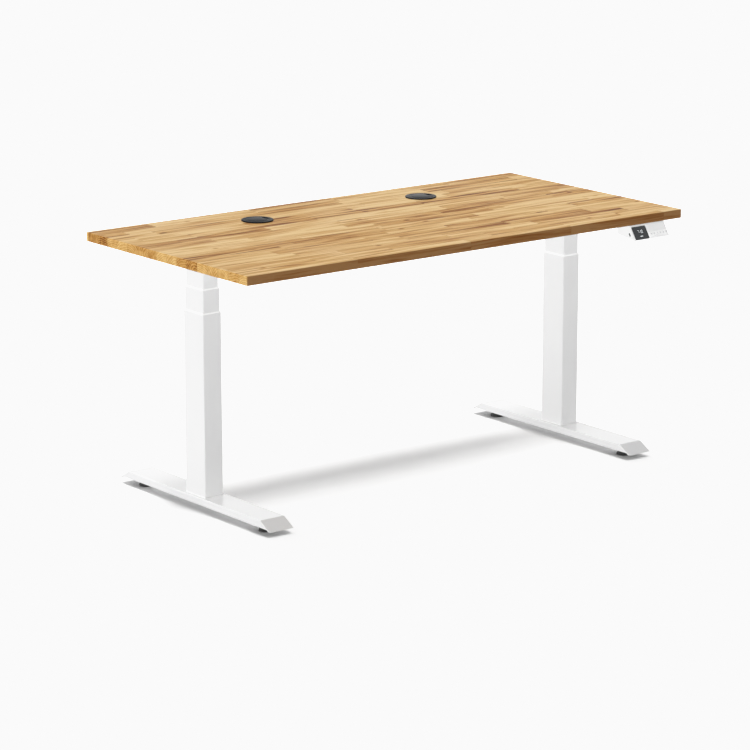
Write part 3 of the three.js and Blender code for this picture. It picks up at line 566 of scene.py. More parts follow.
@dataclass(frozen=True)
class Timber(Finish):
    """Finger-jointed hardwood staves under a satin oil, cut through solid wood in every direction."""

    origin: tuple[float, float, float]
    stave_width: float = 0.0466
    stave_length: float = 0.36
    seed: float = 11.0
    ring_pitch: float = 0.0062
    glue_line: float = 0.0004
    knot_spacing: float = 1.7
    knot_radius: float = 0.0075
    knot_stretch: float = 1.9
    knot_row_shift: float = 7.31
    knot_row_turn: float = 12.9
    knot_aside: float = 0.012
    tones: tuple = (
        (0.00, (0.130, 0.042, 0.012)),
        (0.18, (0.300, 0.118, 0.032)),
        (0.38, (0.500, 0.250, 0.076)),
        (0.60, (0.635, 0.374, 0.134)),
        (0.82, (0.728, 0.476, 0.212)),
        (1.00, (0.825, 0.592, 0.295)),
    )
    # Painted light and shade by face direction: the end faces get a lighter, warmer tone and the front and
    # back faces a darker one.
    side_tint: tuple[float, float, float] = (0.43, 0.31, 0.24)
    end_tint: tuple[float, float, float] = (1.02, 0.96, 0.76)
    cast: tuple[float, float, float] = (0.42, 0.41, 0.40)

    def paint(self, graph: Graph, shader: bpy.types.Node) -> None:
        """Fills the material's nodes.

        Args:
            graph: the material's graph.
            shader: its Principled BSDF.
        """
        place = graph.vector_math("SUBTRACT", graph.place(), self.origin).outputs[0]
        x, y, z = graph.parts(place)
        across = graph.math("DIVIDE", y, self.stave_width)
        row = graph.math("FLOOR", across)
        middle = graph.math("MULTIPLY", graph.math("ADD", row, 0.5), self.stave_width)
        chance, end_gap = self.stave(graph, x, row)
        tone_chance, pith_chance, shift_chance = graph.parts(chance)
        inner_y = graph.math("SUBTRACT", y, middle)
        streaks = self.streaks(graph, x, inner_y, z, shift_chance)
        rings = self.rings(graph, (x, inner_y, z), (tone_chance, pith_chance, shift_chance))
        fibre = self.fibre(graph, x, y, z)

        normal_x, normal_y, _ = graph.parts(graph.node("ShaderNodeNewGeometry").outputs["Normal"])
        # How far each face points along X (end grain) and along Y (front and back); both masks change the
        # grain and also carry painted light and shade.
        end_grain_and_light_share = graph.span(graph.math("ABSOLUTE", normal_x), 0.3, 0.8, 0.0, 1.0)
        side_grain_and_shade_share = graph.span(graph.math("ABSOLUTE", normal_y), 0.3, 0.8, 0.0, 1.0)
        streak_weight = graph.math("MULTIPLY_ADD", end_grain_and_light_share, -0.42, 0.72)
        ring_weight = graph.math("MULTIPLY_ADD", end_grain_and_light_share, -0.16, -0.24)
        chance_weight = graph.math("MULTIPLY_ADD", side_grain_and_shade_share, 0.34, 0.50)
        # Painted light: a lighter tone on the end faces. Painted shade: a darker tone on the front and back
        # faces.
        tone = graph.math("MULTIPLY_ADD", end_grain_and_light_share, 0.22, 0.03)
        tone = graph.math("MULTIPLY_ADD", side_grain_and_shade_share, -0.17, tone)
        tone = graph.math("MULTIPLY_ADD", tone_chance, chance_weight, tone)
        tone = graph.math("MULTIPLY_ADD", streaks, streak_weight, tone)
        tone = graph.math("MULTIPLY_ADD", rings, ring_weight, tone)
        tone = graph.math("MULTIPLY_ADD", self.knots(graph, x, inner_y, row), -0.55, tone)
        tone = graph.math("MULTIPLY_ADD", fibre, 0.16, tone, clamp=True)
        colour = graph.ramp(tone, self.tones)
        # Painted light tint on the end faces and painted shade tint on the front and back faces.
        colour = graph.blend(end_grain_and_light_share, colour, graph.blend(1.0, colour, (*self.end_tint, 1), "MULTIPLY"))
        colour = graph.blend(side_grain_and_shade_share, colour, graph.blend(1.0, colour, (*self.side_tint, 1), "MULTIPLY"))

        joint = self.joints(graph, across, end_gap)
        colour = graph.blend(graph.math("MULTIPLY", joint, 0.45), colour, (0.10, 0.045, 0.02, 1))
        edge_mask = self.effect(graph, Effect.WORN_EDGES, Radius=0.0015, Strength=0.25)
        colour = graph.blend(edge_mask, colour, (0.80, 0.60, 0.36, 1))
        cast = graph.node("ShaderNodeLightPath").outputs["Is Diffuse Ray"]
        graph.feed(shader.inputs["Base Color"], graph.blend(cast, colour, (*self.cast, 1)))

        rough = self.effect(graph, Effect.HANDLING, Scale=3.0, Low=0.46, High=0.56)
        graph.feed(shader.inputs["Roughness"], graph.math("MULTIPLY_ADD", fibre, 0.06, rough))
        height = graph.math("MULTIPLY_ADD", joint, -0.8, fibre)
        graph.feed(shader.inputs["Normal"], graph.bump(height, 0.5, 0.00006))
        shader.inputs["Specular IOR Level"].default_value = 0.05

    def stave(
        self, graph: Graph, x: Feed, row: Feed
    ) -> tuple[bpy.types.NodeSocket, bpy.types.NodeSocket]:
        """Cuts each row into staves of uneven length.

        Args:
            graph: the material's graph.
            x: the place along the row.
            row: the row's number.

        Returns:
            Three random values for the stave, and the distance to its nearer end.
        """
        start = graph.node("ShaderNodeTexWhiteNoise", noise_dimensions="1D")
        graph.feed(start.inputs["W"], graph.math("ADD", row, self.seed))
        along = graph.math("DIVIDE", x, self.stave_length)
        along = graph.math("MULTIPLY_ADD", start.outputs["Value"], 40.0, along)
        cells = graph.node("ShaderNodeTexVoronoi", voronoi_dimensions="1D")
        gaps = graph.node("ShaderNodeTexVoronoi", voronoi_dimensions="1D", feature="DISTANCE_TO_EDGE")
        for node in (cells, gaps):
            graph.feed(node.inputs["W"], along)
            graph.feed(node.inputs["Scale"], 1.0)
            graph.feed(node.inputs["Randomness"], 0.70)
        chance = graph.node("ShaderNodeTexWhiteNoise", noise_dimensions="3D")
        graph.feed(chance.inputs["Vector"], graph.vector(cells.outputs["W"], row, self.seed))
        gap = graph.math("MULTIPLY", gaps.outputs["Distance"], self.stave_length)
        return chance.outputs["Color"], gap

    def streaks(self, graph: Graph, x: Feed, y: Feed, z: Feed, shift: Feed) -> bpy.types.NodeSocket:
        """Draws the broad bands of heartwood and sapwood along a stave.

        Args:
            graph: the material's graph.
            x: the place along the stave.
            y: the place across it.
            z: the height in it.
            shift: the stave's own random value.

        Returns:
            0 for the darkest bands to 1 for the palest.
        """
        offset = graph.math("MULTIPLY", shift, 60.0)
        along = graph.math("MULTIPLY_ADD", x, 3.4, offset)
        place = graph.vector(along, graph.math("MULTIPLY", y, 62.0), graph.math("MULTIPLY", z, 62.0))
        return graph.span(graph.noise(place, 1.0, 6, 0.7), 0.36, 0.62, 0.0, 1.0)

    def rings(self, graph: Graph, place: Sequence[Feed], chance: Sequence[Feed]) -> bpy.types.NodeSocket:
        """Draws growth rings round a pith beside each stave.

        Args:
            graph: the material's graph.
            place: the place along, across and up the stave.
            chance: the stave's three random values.

        Returns:
            0 in early wood to 1 in late wood.
        """
        x, y, z = place
        side = graph.math("MULTIPLY_ADD", chance[1], 0.16, -0.08)
        below = graph.math("MULTIPLY_ADD", chance[2], 0.07, 0.012)
        reach_y = graph.math("SUBTRACT", y, side)
        reach_z = graph.math("ADD", z, below)
        square = graph.math("MULTIPLY_ADD", reach_y, reach_y, graph.math("MULTIPLY", reach_z, reach_z))
        wander = graph.vector(
            graph.math("MULTIPLY_ADD", x, 3.0, graph.math("MULTIPLY", chance[0], 50.0)),
            graph.math("MULTIPLY", y, 20.0),
            graph.math("MULTIPLY", z, 20.0),
        )
        radius = graph.math("MULTIPLY_ADD", graph.noise(wander, 1.0, 3), 0.022, graph.math("SQRT", square))
        wave = graph.math("FRACT", graph.math("DIVIDE", radius, self.ring_pitch))
        rising = graph.span(wave, 0.25, 0.9, 0.0, 1.0)
        falling = graph.span(wave, 0.9, 1.0, 1.0, 0.0)
        return graph.math("MULTIPLY", rising, falling)

    def knots(self, graph: Graph, x: Feed, y: Feed, row: Feed) -> bpy.types.NodeSocket:
        """Puts a small dark knot here and there along each row.

        Args:
            graph: the material's graph.
            x: the place along the row.
            y: the place across it, from its middle.
            row: the row's number.

        Returns:
            1 in the middle of a knot, 0 away from it.
        """
        along = graph.math("DIVIDE", x, self.knot_spacing)
        cells = graph.node("ShaderNodeTexVoronoi", voronoi_dimensions="1D")
        graph.feed(cells.inputs["W"], graph.math("MULTIPLY_ADD", row, self.knot_row_shift, along))
        graph.feed(cells.inputs["Scale"], 1.0)
        graph.feed(cells.inputs["Randomness"], 1.0)
        reach_x = graph.math("MULTIPLY", cells.outputs["Distance"], self.knot_spacing / self.knot_stretch)
        turn = graph.math("MULTIPLY", row, self.knot_row_turn)
        aside = graph.math("MULTIPLY", graph.math("SINE", turn), self.knot_aside)
        reach_y = graph.math("SUBTRACT", y, aside)
        square = graph.math("MULTIPLY_ADD", reach_x, reach_x, graph.math("MULTIPLY", reach_y, reach_y))
        return graph.span(graph.math("SQRT", square), 0.3 * self.knot_radius, self.knot_radius, 1.0, 0.0)

    def fibre(self, graph: Graph, x: Feed, y: Feed, z: Feed) -> bpy.types.NodeSocket:
        """Draws the fine pores that run along every stave.

        Args:
            graph: the material's graph.
            x: the place along the desktop.
            y: the place across it.
            z: the height in it.

        Returns:
            The pores, about 0 to 1.
        """
        place = graph.vector(
            graph.math("MULTIPLY", x, 16.0),
            graph.math("MULTIPLY", y, 520.0),
            graph.math("MULTIPLY", z, 520.0),
        )
        return graph.span(graph.noise(place, 1.0, 3), 0.3, 0.7, 0.0, 1.0)

    def joints(self, graph: Graph, across: Feed, end_gap: Feed) -> bpy.types.NodeSocket:
        """Marks the glue lines between rows and between staves.

        Args:
            graph: the material's graph.
            across: the place across the rows, in rows.
            end_gap: the distance to the stave's nearer end.

        Returns:
            1 on a glue line, 0 off it.
        """
        part = graph.math("FRACT", across)
        nearer = graph.math("MINIMUM", part, graph.math("SUBTRACT", 1.0, part))
        side_gap = graph.math("MULTIPLY", nearer, self.stave_width)
        gap = graph.math("MINIMUM", side_gap, end_gap)
        return graph.span(gap, self.glue_line / 2, self.glue_line, 1.0, 0.0)


@dataclass(frozen=True)
class DarkGlass(Finish):
    """The smoked cover of the display."""

    colour: tuple[float, float, float] = (0.022, 0.025, 0.028)
    gloss: tuple[float, float] = (0.10, 0.20)

    def paint(self, graph: Graph, shader: bpy.types.Node) -> None:
        """Fills the material's nodes.

        Args:
            graph: the material's graph.
            shader: its Principled BSDF.
        """
        edge_mask = self.effect(graph, Effect.WORN_EDGES, Radius=0.0005, Strength=0.6)
        graph.feed(shader.inputs["Base Color"], graph.blend(edge_mask, (*self.colour, 1), (0.10, 0.11, 0.12, 1)))
        low, high = self.gloss
        graph.feed(
            shader.inputs["Roughness"],
            self.effect(graph, Effect.HANDLING, Scale=120.0, Low=low, High=high),
        )
        relief = self.effect(graph, Effect.FINE_SURFACE, Scale=260.0, Detail=1.0)
        graph.feed(shader.inputs["Normal"], graph.bump(relief, 0.15, 0.00001))
        shader.inputs["Coat Weight"].default_value = 0.15


@dataclass(frozen=True)
class LitSegment(Finish):
    """A lit segment of the display, a little uneven as such segments are."""

    colour: tuple[float, float, float] = (0.80, 0.84, 0.86)
    glow: float = 0.55

    def paint(self, graph: Graph, shader: bpy.types.Node) -> None:
        """Fills the material's nodes.

        Args:
            graph: the material's graph.
            shader: its Principled BSDF.
        """
        patches = self.effect(graph, Effect.FINE_SURFACE, Scale=700.0, Detail=2.0)
        shade = graph.span(patches, 0.3, 0.7, 0.9, 1.0)
        tone = graph.vector_math("MULTIPLY", self.colour, graph.vector(shade, shade, shade)).outputs[0]
        graph.feed(shader.inputs["Base Color"], tone)
        graph.feed(shader.inputs["Emission Color"], tone)
        graph.feed(shader.inputs["Roughness"], graph.span(patches, 0.3, 0.7, 0.35, 0.5))
        shader.inputs["Emission Strength"].default_value = self.glow


@dataclass(frozen=True)
class Laminate(Finish):
    """Green circuit board with its copper tracks under the lacquer."""

    colour: tuple[float, float, float] = (0.025, 0.115, 0.050)
    track: tuple[float, float, float] = (0.050, 0.200, 0.080)
    track_pitch: float = 0.0032

    def paint(self, graph: Graph, shader: bpy.types.Node) -> None:
        """Fills the material's nodes.

        Args:
            graph: the material's graph.
            shader: its Principled BSDF.
        """
        bent = graph.noise(graph.place(), 45.0, 1)
        x, y, _ = graph.parts(graph.place())
        line = graph.math("ADD", graph.math("ADD", x, y), graph.math("MULTIPLY", bent, 0.02))
        wave = graph.math("FRACT", graph.math("DIVIDE", line, self.track_pitch))
        tracks = graph.math("GREATER_THAN", wave, 0.6)
        graph.feed(shader.inputs["Base Color"], graph.blend(tracks, (*self.colour, 1), (*self.track, 1)))
        graph.feed(
            shader.inputs["Roughness"],
            self.effect(graph, Effect.HANDLING, Scale=60.0, Low=0.25, High=0.4),
        )
        graph.feed(shader.inputs["Normal"], graph.bump(tracks, 0.5, 0.00004))


# The white finishes' lighter edge colours are painted highlights; the other finishes' edge colours are rubbed
# wear.
WHITE_STEEL = Coating(
    "powder coat white", Slot.STEEL, (0.88, 0.88, 0.88), (0.92, 0.92, 0.92), (0.05, 0.08),
    edge_radius=0.0012, edge_share=0.35, grain_scale=620.0, grain_depth=0.000015, mottle=0.004,
)
GUIDE = Coating(
    "guide plastic white", Slot.GUIDE, (0.95, 0.95, 0.95), (0.97, 0.97, 0.97), (0.35, 0.45), mottle=0.01,
)
BLACK_PLASTIC = Coating(
    "moulded plastic black", Slot.PLASTIC, (0.008, 0.0085, 0.010), (0.040, 0.040, 0.044), (0.30, 0.42),
    edge_share=0.5, grain_scale=1500.0, grain_depth=0.00005, mottle=0.08, specular=0.04,
)
CONTROL_BLACK = Coating(
    "control box black", Slot.CONTROL, (0.022, 0.022, 0.023), (0.070, 0.070, 0.070), (0.42, 0.55),
    grain_scale=1300.0, grain_depth=0.00007, mottle=0.08,
)
SOCKET_BLACK = Coating(
    "socket black", Slot.SOCKET, (0.018, 0.018, 0.019), (0.060, 0.060, 0.060), (0.38, 0.50), mottle=0.05,
)
RUBBER = Coating(
    "leveler rubber", Slot.RUBBER, (0.020, 0.020, 0.020), (0.055, 0.052, 0.050), (0.62, 0.80),
    grain_scale=1100.0, grain_depth=0.0001, mottle=0.15,
)
LEAD_RUBBER = Coating(
    "lead sheath", Slot.LEAD, (0.022, 0.022, 0.023), (0.045, 0.045, 0.045), (0.45, 0.58),
    grain_scale=1400.0, grain_depth=0.00005, mottle=0.1,
)
ZINC = Coating(
    "zinc plated steel", Slot.SCREW, (0.56, 0.57, 0.59), (0.76, 0.77, 0.79), (0.26, 0.40), metallic=1.0,
    edge_share=0.6, grain=(1.0, 1.0, 0.2), grain_scale=500.0, grain_depth=0.00004, mottle=0.06,
)
MOTOR_ZINC = Coating(
    "motor can", Slot.MOTOR, (0.43, 0.44, 0.46), (0.66, 0.67, 0.69), (0.28, 0.42), metallic=1.0,
    edge_share=0.5, grain=(0.15, 1.0, 1.0), grain_scale=450.0, grain_depth=0.00004, mottle=0.06,
)
LID_STEEL = Coating(
    "lid steel", Slot.LID, (0.50, 0.50, 0.52), (0.70, 0.70, 0.72), (0.30, 0.42), metallic=1.0,
    grain=(0.1, 1.0, 1.0), grain_scale=420.0, mottle=0.06,
)
HANDSET_WHITE = Coating(
    "handset shell white", Slot.HANDSET, (0.94, 0.94, 0.94), (0.95, 0.95, 0.95), (0.28, 0.36),
    edge_radius=0.0008, edge_share=0.5, grain_scale=1600.0, grain_depth=0.00003, mottle=0.01,
)
KEY_WHITE = Coating(
    "key white", Slot.KEY, (0.88, 0.88, 0.88), (0.93, 0.93, 0.93), (0.26, 0.34),
    edge_radius=0.0006, grain_scale=1600.0, grain_depth=0.00002, mottle=0.01,
)
KEY_PRINT = Coating(
    "key print grey", Slot.KEY, (0.30, 0.31, 0.33), (0.42, 0.42, 0.44), (0.40, 0.50), edge_radius=0.0001,
    grain_scale=2200.0, grain_depth=0.00001,
)
DISPLAY = DarkGlass("display cover", Slot.GLASS)
SEGMENT = LitSegment("display segment", Slot.GLASS)
BOARD = Laminate("circuit board laminate", Slot.CIRCUIT)


# ------------------------------------------------------------------------ mesh work


@dataclass(frozen=True)
class Ring:
    """One level of a turned piece: round, many-sided or ribbed."""

    radius: float
    height: float
    sides: int = 0
    ribs: int = 0
    rib_depth: float = 0.0

    def reach(self, angle: float) -> float:
        """Gives the distance from the axis to the surface at an angle, in radians."""
        if self.sides:
            wedge = math.tau / self.sides
            return self.radius / math.cos((angle + wedge / 2) % wedge - wedge / 2)
        return self.radius + self.rib_depth * math.cos(self.ribs * angle)


def mesh_from(work: bmesh.types.BMesh, place: Matrix = Matrix()) -> bpy.types.Mesh:
    """Turns finished mesh work into a mesh with smooth faces and sharp corners.

    Args:
        work: the mesh work, which is freed.
        place: where it goes.

    Returns:
        The mesh.
    """
    bmesh.ops.recalc_face_normals(work, faces=work.faces)
    made = bpy.data.meshes.new("piece")
    work.to_mesh(made)
    work.free()
    made.transform(place)
    made.shade_smooth()
    made.set_sharp_from_angle(angle=math.radians(38))
    return made


def loft(rings: Sequence[Sequence[Vector]], closed: bool = False, place: Matrix = Matrix()) -> bpy.types.Mesh:
    """Skins a row of rings that have equally many points.

    Args:
        rings: the rings, in order.
        closed: whether the last ring joins the first instead of both being capped.
        place: where the mesh goes.

    Returns:
        The mesh.
    """
    work = bmesh.new()
    levels = [[work.verts.new(point) for point in ring] for ring in rings]
    pairs = list(zip(levels, levels[1:] + levels[:1])) if closed else list(zip(levels, levels[1:]))
    for lower, upper in pairs:
        count = len(lower)
        for index in range(count):
            after = (index + 1) % count
            work.faces.new((lower[index], lower[after], upper[after], upper[index]))
    if not closed:
        work.faces.new(levels[0])
        work.faces.new(levels[-1])
    bmesh.ops.remove_doubles(work, verts=work.verts, dist=1e-7)
    return mesh_from(work, place)


def turned(rings: Sequence[Ring], place: Matrix, steps: int = 64, closed: bool = False) -> bpy.types.Mesh:
    """Turns a piece about its own Z axis.

    Args:
        rings: its levels from one end to the other.
        place: where the piece goes.
        steps: points round it.
        closed: whether the piece is hollow, with its last level joined to the first.

    Returns:
        The mesh.
    """
    angles = [math.tau * step / steps for step in range(steps)]
    points = [
        [
            Vector((ring.reach(angle) * math.cos(angle), ring.reach(angle) * math.sin(angle), ring.height))
            for angle in angles
        ]
        for ring in rings
    ]
    return loft(points, closed, place)


def rounded_outline(width: float, depth: float, radius: float, steps: int = 6) -> list[Point]:
    """Draws a rectangle with round corners about the origin.

    Args:
        width: its size along X.
        depth: its size along Y.
        radius: of its corners.
        steps: points to a corner.

    Returns:
        Its points, anticlockwise.
    """
    points = []
    for corner, (across, along) in enumerate(((1, 1), (-1, 1), (-1, -1), (1, -1))):
        for step in range(steps + 1):
            angle = math.pi / 2 * (corner + step / steps)
            points.append(
                (
                    across * (width / 2 - radius) + radius * math.cos(angle),
                    along * (depth / 2 - radius) + radius * math.sin(angle),
                )
            )
    return points


def circle_outline(radius: float, centre: Point = (0, 0), steps: int = 96) -> list[Point]:
    """Draws a circle.

    Args:
        radius: its radius.
        centre: its middle.
        steps: points round it.

    Returns:
        Its points, anticlockwise.
    """
    angles = [math.tau * step / steps for step in range(steps)]
    return [(centre[0] + radius * math.cos(a), centre[1] + radius * math.sin(a)) for a in angles]


def moved(outline: Iterable[Point], x: float, y: float) -> list[Point]:
    """Moves an outline by x and y."""
    return [(px + x, py + y) for px, py in outline]


def plate(
    outline: Sequence[Point],
    low: float,
    high: float,
    rounding: float,
    holes: Sequence[Sequence[Point]] = (),
    place: Matrix = Matrix(),
    steps: int = 3,
) -> bpy.types.Mesh:
    """Makes a flat plate with rounded edges.

    Args:
        outline: its outer edge.
        low: its lower face.
        high: its upper face.
        rounding: of the edges.
        holes: outlines cut through it.
        place: where it goes.
        steps: facets of the rounding.

    Returns:
        The mesh.
    """
    curve = bpy.data.curves.new("outline", "CURVE")
    curve.dimensions = "2D"
    curve.fill_mode = "BOTH"
    curve.extrude = (high - low) / 2 - rounding
    curve.bevel_depth = rounding
    curve.bevel_resolution = steps
    curve.offset = -rounding
    for points in (outline, *holes):
        spline = curve.splines.new("POLY")
        spline.points.add(len(points) - 1)
        spline.points.foreach_set("co", [value for x, y in points for value in (x, y, 0.0, 1.0)])
        spline.use_cyclic_u = True
    holder = bpy.data.objects.new("outline", curve)
    raw = bpy.data.meshes.new_from_object(holder)
    work = bmesh.new()
    work.from_mesh(raw)
    bmesh.ops.remove_doubles(work, verts=work.verts, dist=1e-6)
    bpy.data.objects.remove(holder)
    bpy.data.curves.remove(curve)
    bpy.data.meshes.remove(raw)
    return mesh_from(work, place @ Matrix.Translation((0, 0, (low + high) / 2)))


def sleeve(
    outer: Sequence[Point], inner: Sequence[Point], low: float, high: float, middle: Vector
) -> bpy.types.Mesh:
    """Makes an upright tube between two outlines.

    Args:
        outer: its outer outline.
        inner: its inner outline, with as many points.
        low: its lower end.
        high: its upper end.
        middle: the place of its axis.

    Returns:
        The mesh.
    """
    levels = ((outer, low), (outer, high), (inner, high), (inner, low))
    rings = [[Vector((middle.x + x, middle.y + y, z)) for x, y in outline] for outline, z in levels]
    return loft(rings, closed=True)


def refined(node: str) -> bpy.types.Mesh:
    """Copies a node of the frame with its corners welded and its flat faces whole.

    Args:
        node: the node's name.

    Returns:
        The mesh.
    """
    work = bmesh.new()
    work.from_mesh(frame["nodes"][node].data)
    bmesh.ops.remove_doubles(work, verts=work.verts, dist=1e-6)
    bmesh.ops.dissolve_limit(work, angle_limit=math.radians(1), verts=work.verts, edges=work.edges)
    return mesh_from(work)


def joined(meshes: Sequence[bpy.types.Mesh]) -> bpy.types.Mesh:
    """Joins meshes of one finish into one.

    Args:
        meshes: the meshes, which are removed.

    Returns:
        The joined mesh.
    """
    work = bmesh.new()
    for mesh in meshes:
        work.from_mesh(mesh)
        bpy.data.meshes.remove(mesh)
    return mesh_from(work)


def cut_from(whole: bpy.types.Mesh, cutter: bpy.types.Mesh) -> bpy.types.Mesh:
    """Cuts one mesh out of another.

    Args:
        whole: the mesh that is cut, which is removed.
        cutter: the mesh that is taken away, which is removed.

    Returns:
        What is left.
    """
    body = bpy.data.objects.new("body", whole)
    tool = bpy.data.objects.new("tool", cutter)
    for item in (body, tool):
        bpy.context.scene.collection.objects.link(item)
    cut = body.modifiers.new("cut", "BOOLEAN")
    cut.operation = "DIFFERENCE"
    cut.object = tool
    bpy.context.view_layer.update()
    left = bpy.data.meshes.new_from_object(body.evaluated_get(bpy.context.evaluated_depsgraph_get()))
    for item, mesh in ((body, whole), (tool, cutter)):
        bpy.data.objects.remove(item)
        bpy.data.meshes.remove(mesh)
    left.shade_smooth()
    left.set_sharp_from_angle(angle=math.radians(38))
    return left


def smooth_route(points: Sequence[Vector], between: int = 8) -> list[Vector]:
    """Runs one smooth curve through points, tightening where they are close together.

    Args:
        points: the points it passes.
        between: steps from each to the next.

    Returns:
        The curve's points.
    """
    ends = [2 * points[0] - points[1], *points, 2 * points[-1] - points[-2]]
    route = []
    for a, b, c, d in zip(ends, ends[1:], ends[2:], ends[3:]):
        t0 = 0.0
        t1 = t0 + math.sqrt((b - a).length)
        t2 = t1 + math.sqrt((c - b).length)
        t3 = t2 + math.sqrt((d - c).length)
        for step in range(between):
            t = t1 + (t2 - t1) * step / between
            ab = a.lerp(b, (t - t0) / (t1 - t0))
            bc = b.lerp(c, (t - t1) / (t2 - t1))
            cd = c.lerp(d, (t - t2) / (t3 - t2))
            abc = ab.lerp(bc, (t - t0) / (t2 - t0))
            bcd = bc.lerp(cd, (t - t1) / (t3 - t1))
            route.append(abc.lerp(bcd, (t - t1) / (t2 - t1)))
    return [*route, points[-1]]


def round_lead(route: Sequence[Vector], radius: float, steps: int = 16) -> bpy.types.Mesh:
    """Makes a round lead along a route.

    Args:
        route: the points of its middle.
        radius: of the lead.
        steps: points round it.

    Returns:
        The mesh.
    """
    rings = []
    side = Vector((0, 0, 1))
    for index, point in enumerate(route):
        before = route[max(index - 1, 0)]
        after = route[min(index + 1, len(route) - 1)]
        way = (after - before).normalized()
        side = (side - way * side.dot(way)).normalized()
        other = way.cross(side)
        angles = [math.tau * step / steps for step in range(steps)]
        rings.append([point + radius * (side * math.cos(a) + other * math.sin(a)) for a in angles])
    return loft(rings)


def outermost(node: str, way: Vector) -> Vector:
    """Finds the middle of the part of a node that lies furthest along a direction.

    Args:
        node: the node's name.
        way: the direction.

    Returns:
        The middle of the furthest corners.
    """
    corners = [corner.co for corner in frame["nodes"][node].data.vertices]
    furthest = max(corner.dot(way) for corner in corners)
    face = {tuple(round(value, 6) for value in c) for c in corners if c.dot(way) > furthest - 1e-5}
    low = Vector(min(c[axis] for c in face) for axis in range(3))
    high = Vector(max(c[axis] for c in face) for axis in range(3))
    return (low + high) / 2


def middle_of(node: str) -> Vector:
    """Gives the middle of a node's box."""
    low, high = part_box(node)
    return (low + high) / 2


def turn_to(way: Vector, at: Vector) -> Matrix:
    """Gives the placement whose Z axis points a given way.

    Args:
        way: the direction.
        at: the place.

    Returns:
        The placement.
    """
    return Matrix.Translation(at) @ way.to_track_quat("Z", "Y").to_matrix().to_4x4()


DOWN = Vector((0, 0, -1))


@dataclass(frozen=True)
class ButtonScrew:
    """A button-head screw with a hex socket, seen from its head."""

    radius: float = 0.0050
    height: float = 0.0026
    socket: float = 0.0019
    socket_depth: float = 0.0014
    washer: float = 0.0065
    washer_height: float = 0.0008

    def mesh(self, at: Vector, way: Vector) -> bpy.types.Mesh:
        """Makes the head and washer.

        Args:
            at: where the washer rests.
            way: the direction in which the head stands out.

        Returns:
            The mesh.
        """
        seat = self.washer_height
        top = seat + self.height
        rings = [
            Ring(self.washer * 0.9, 0.0),
            Ring(self.washer, 0.0001),
            Ring(self.washer, seat - 0.0001),
            Ring(self.washer * 0.97, seat),
            Ring(self.radius, seat),
            Ring(self.radius, seat + 0.0005),
            Ring(self.radius * 0.93, seat + self.height * 0.5),
            Ring(self.radius * 0.74, seat + self.height * 0.85),
            Ring(self.radius * 0.52, top),
            Ring(self.socket, top, sides=6),
            Ring(self.socket, top - self.socket_depth, sides=6),
            Ring(self.socket * 0.2, top - self.socket_depth * 1.25),
        ]
        return turned(rings, turn_to(way, at), steps=24)


# ------------------------------------------------------------------------ sub-assemblies


class SubAssembly(ABC):
    """Pieces of the desk that are built and dressed together."""

    def __init__(self) -> None:
        """Starts with no pieces."""
        self.pieces: list[tuple[bpy.types.Object, Finish]] = []

    @abstractmethod
    def build(self) -> None:
        """Builds the pieces' meshes."""

    def dress(self) -> None:
        """Gives each piece its finish."""
        for piece, finish in self.pieces:
            finish.apply(piece)
            LOG.info("%s: %s", piece.name, finish.name)

    def take(
        self,
        name: str,
        mesh: bpy.types.Mesh,
        finish: Finish,
        body: str,
        stands_for: Sequence[str] = (),
        edge: float = 0.0,
    ) -> bpy.types.Object:
        """Makes a piece from a mesh and sets it on its body.

        Args:
            name: the piece's name.
            mesh: its mesh, in the desk's frame.
            finish: what it will be dressed in.
            body: the body that it moves with.
            stands_for: the nodes of the frame that it replaces.
            edge: the rounding of its sharp edges.

        Returns:
            The piece.
        """
        mesh.name = name
        piece = bpy.data.objects.new(name, mesh)
        bpy.context.scene.collection.objects.link(piece)
        if edge:
            bevel = piece.modifiers.new("rounded edges", "BEVEL")
            bevel.width = edge
            bevel.segments = 3
            bevel.limit_method = "ANGLE"
            bevel.angle_limit = math.radians(38)
        weighted = piece.modifiers.new("flat faces", "WEIGHTED_NORMAL")
        weighted.keep_sharp = True
        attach(piece, body)
        if stands_for:
            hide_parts(*stands_for)
        self.pieces.append((piece, finish))
        return piece

    def keep(self, node: str, finish: Finish) -> None:
        """Keeps a node of the frame as it is, to be dressed with the rest.

        Args:
            node: the node's name.
            finish: what it will be dressed in.
        """
        self.pieces.append((frame["nodes"][node], finish))


@dataclass
class Desktop(SubAssembly):
    """The timber board with its two cable holes."""

    edge_round: float = 0.002
    corner_radius: float = 0.004
    hole_radius: float = 0.040
    first_row: float = 0.012

    def __post_init__(self) -> None:
        """Starts the list of pieces."""
        super().__init__()

    def build(self) -> None:
        """Builds the board."""
        low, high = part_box("desktop")
        centre = (low + high) / 2
        size = high - low
        outline = moved(rounded_outline(size.x, size.y, self.corner_radius), centre.x, centre.y)
        holes = []
        for side in Side:
            hole = middle_of(f"{side.word}_grommet_ring")
            holes.append(circle_outline(self.hole_radius, (hole.x, hole.y)))
        board = plate(outline, low.z, high.z, self.edge_round, holes)
        timber = Timber("hardwood staves", Slot.TIMBER, (centre.x, low.y - self.first_row, centre.z))
        self.take("desktop_board", board, timber, "top", ["desktop"])


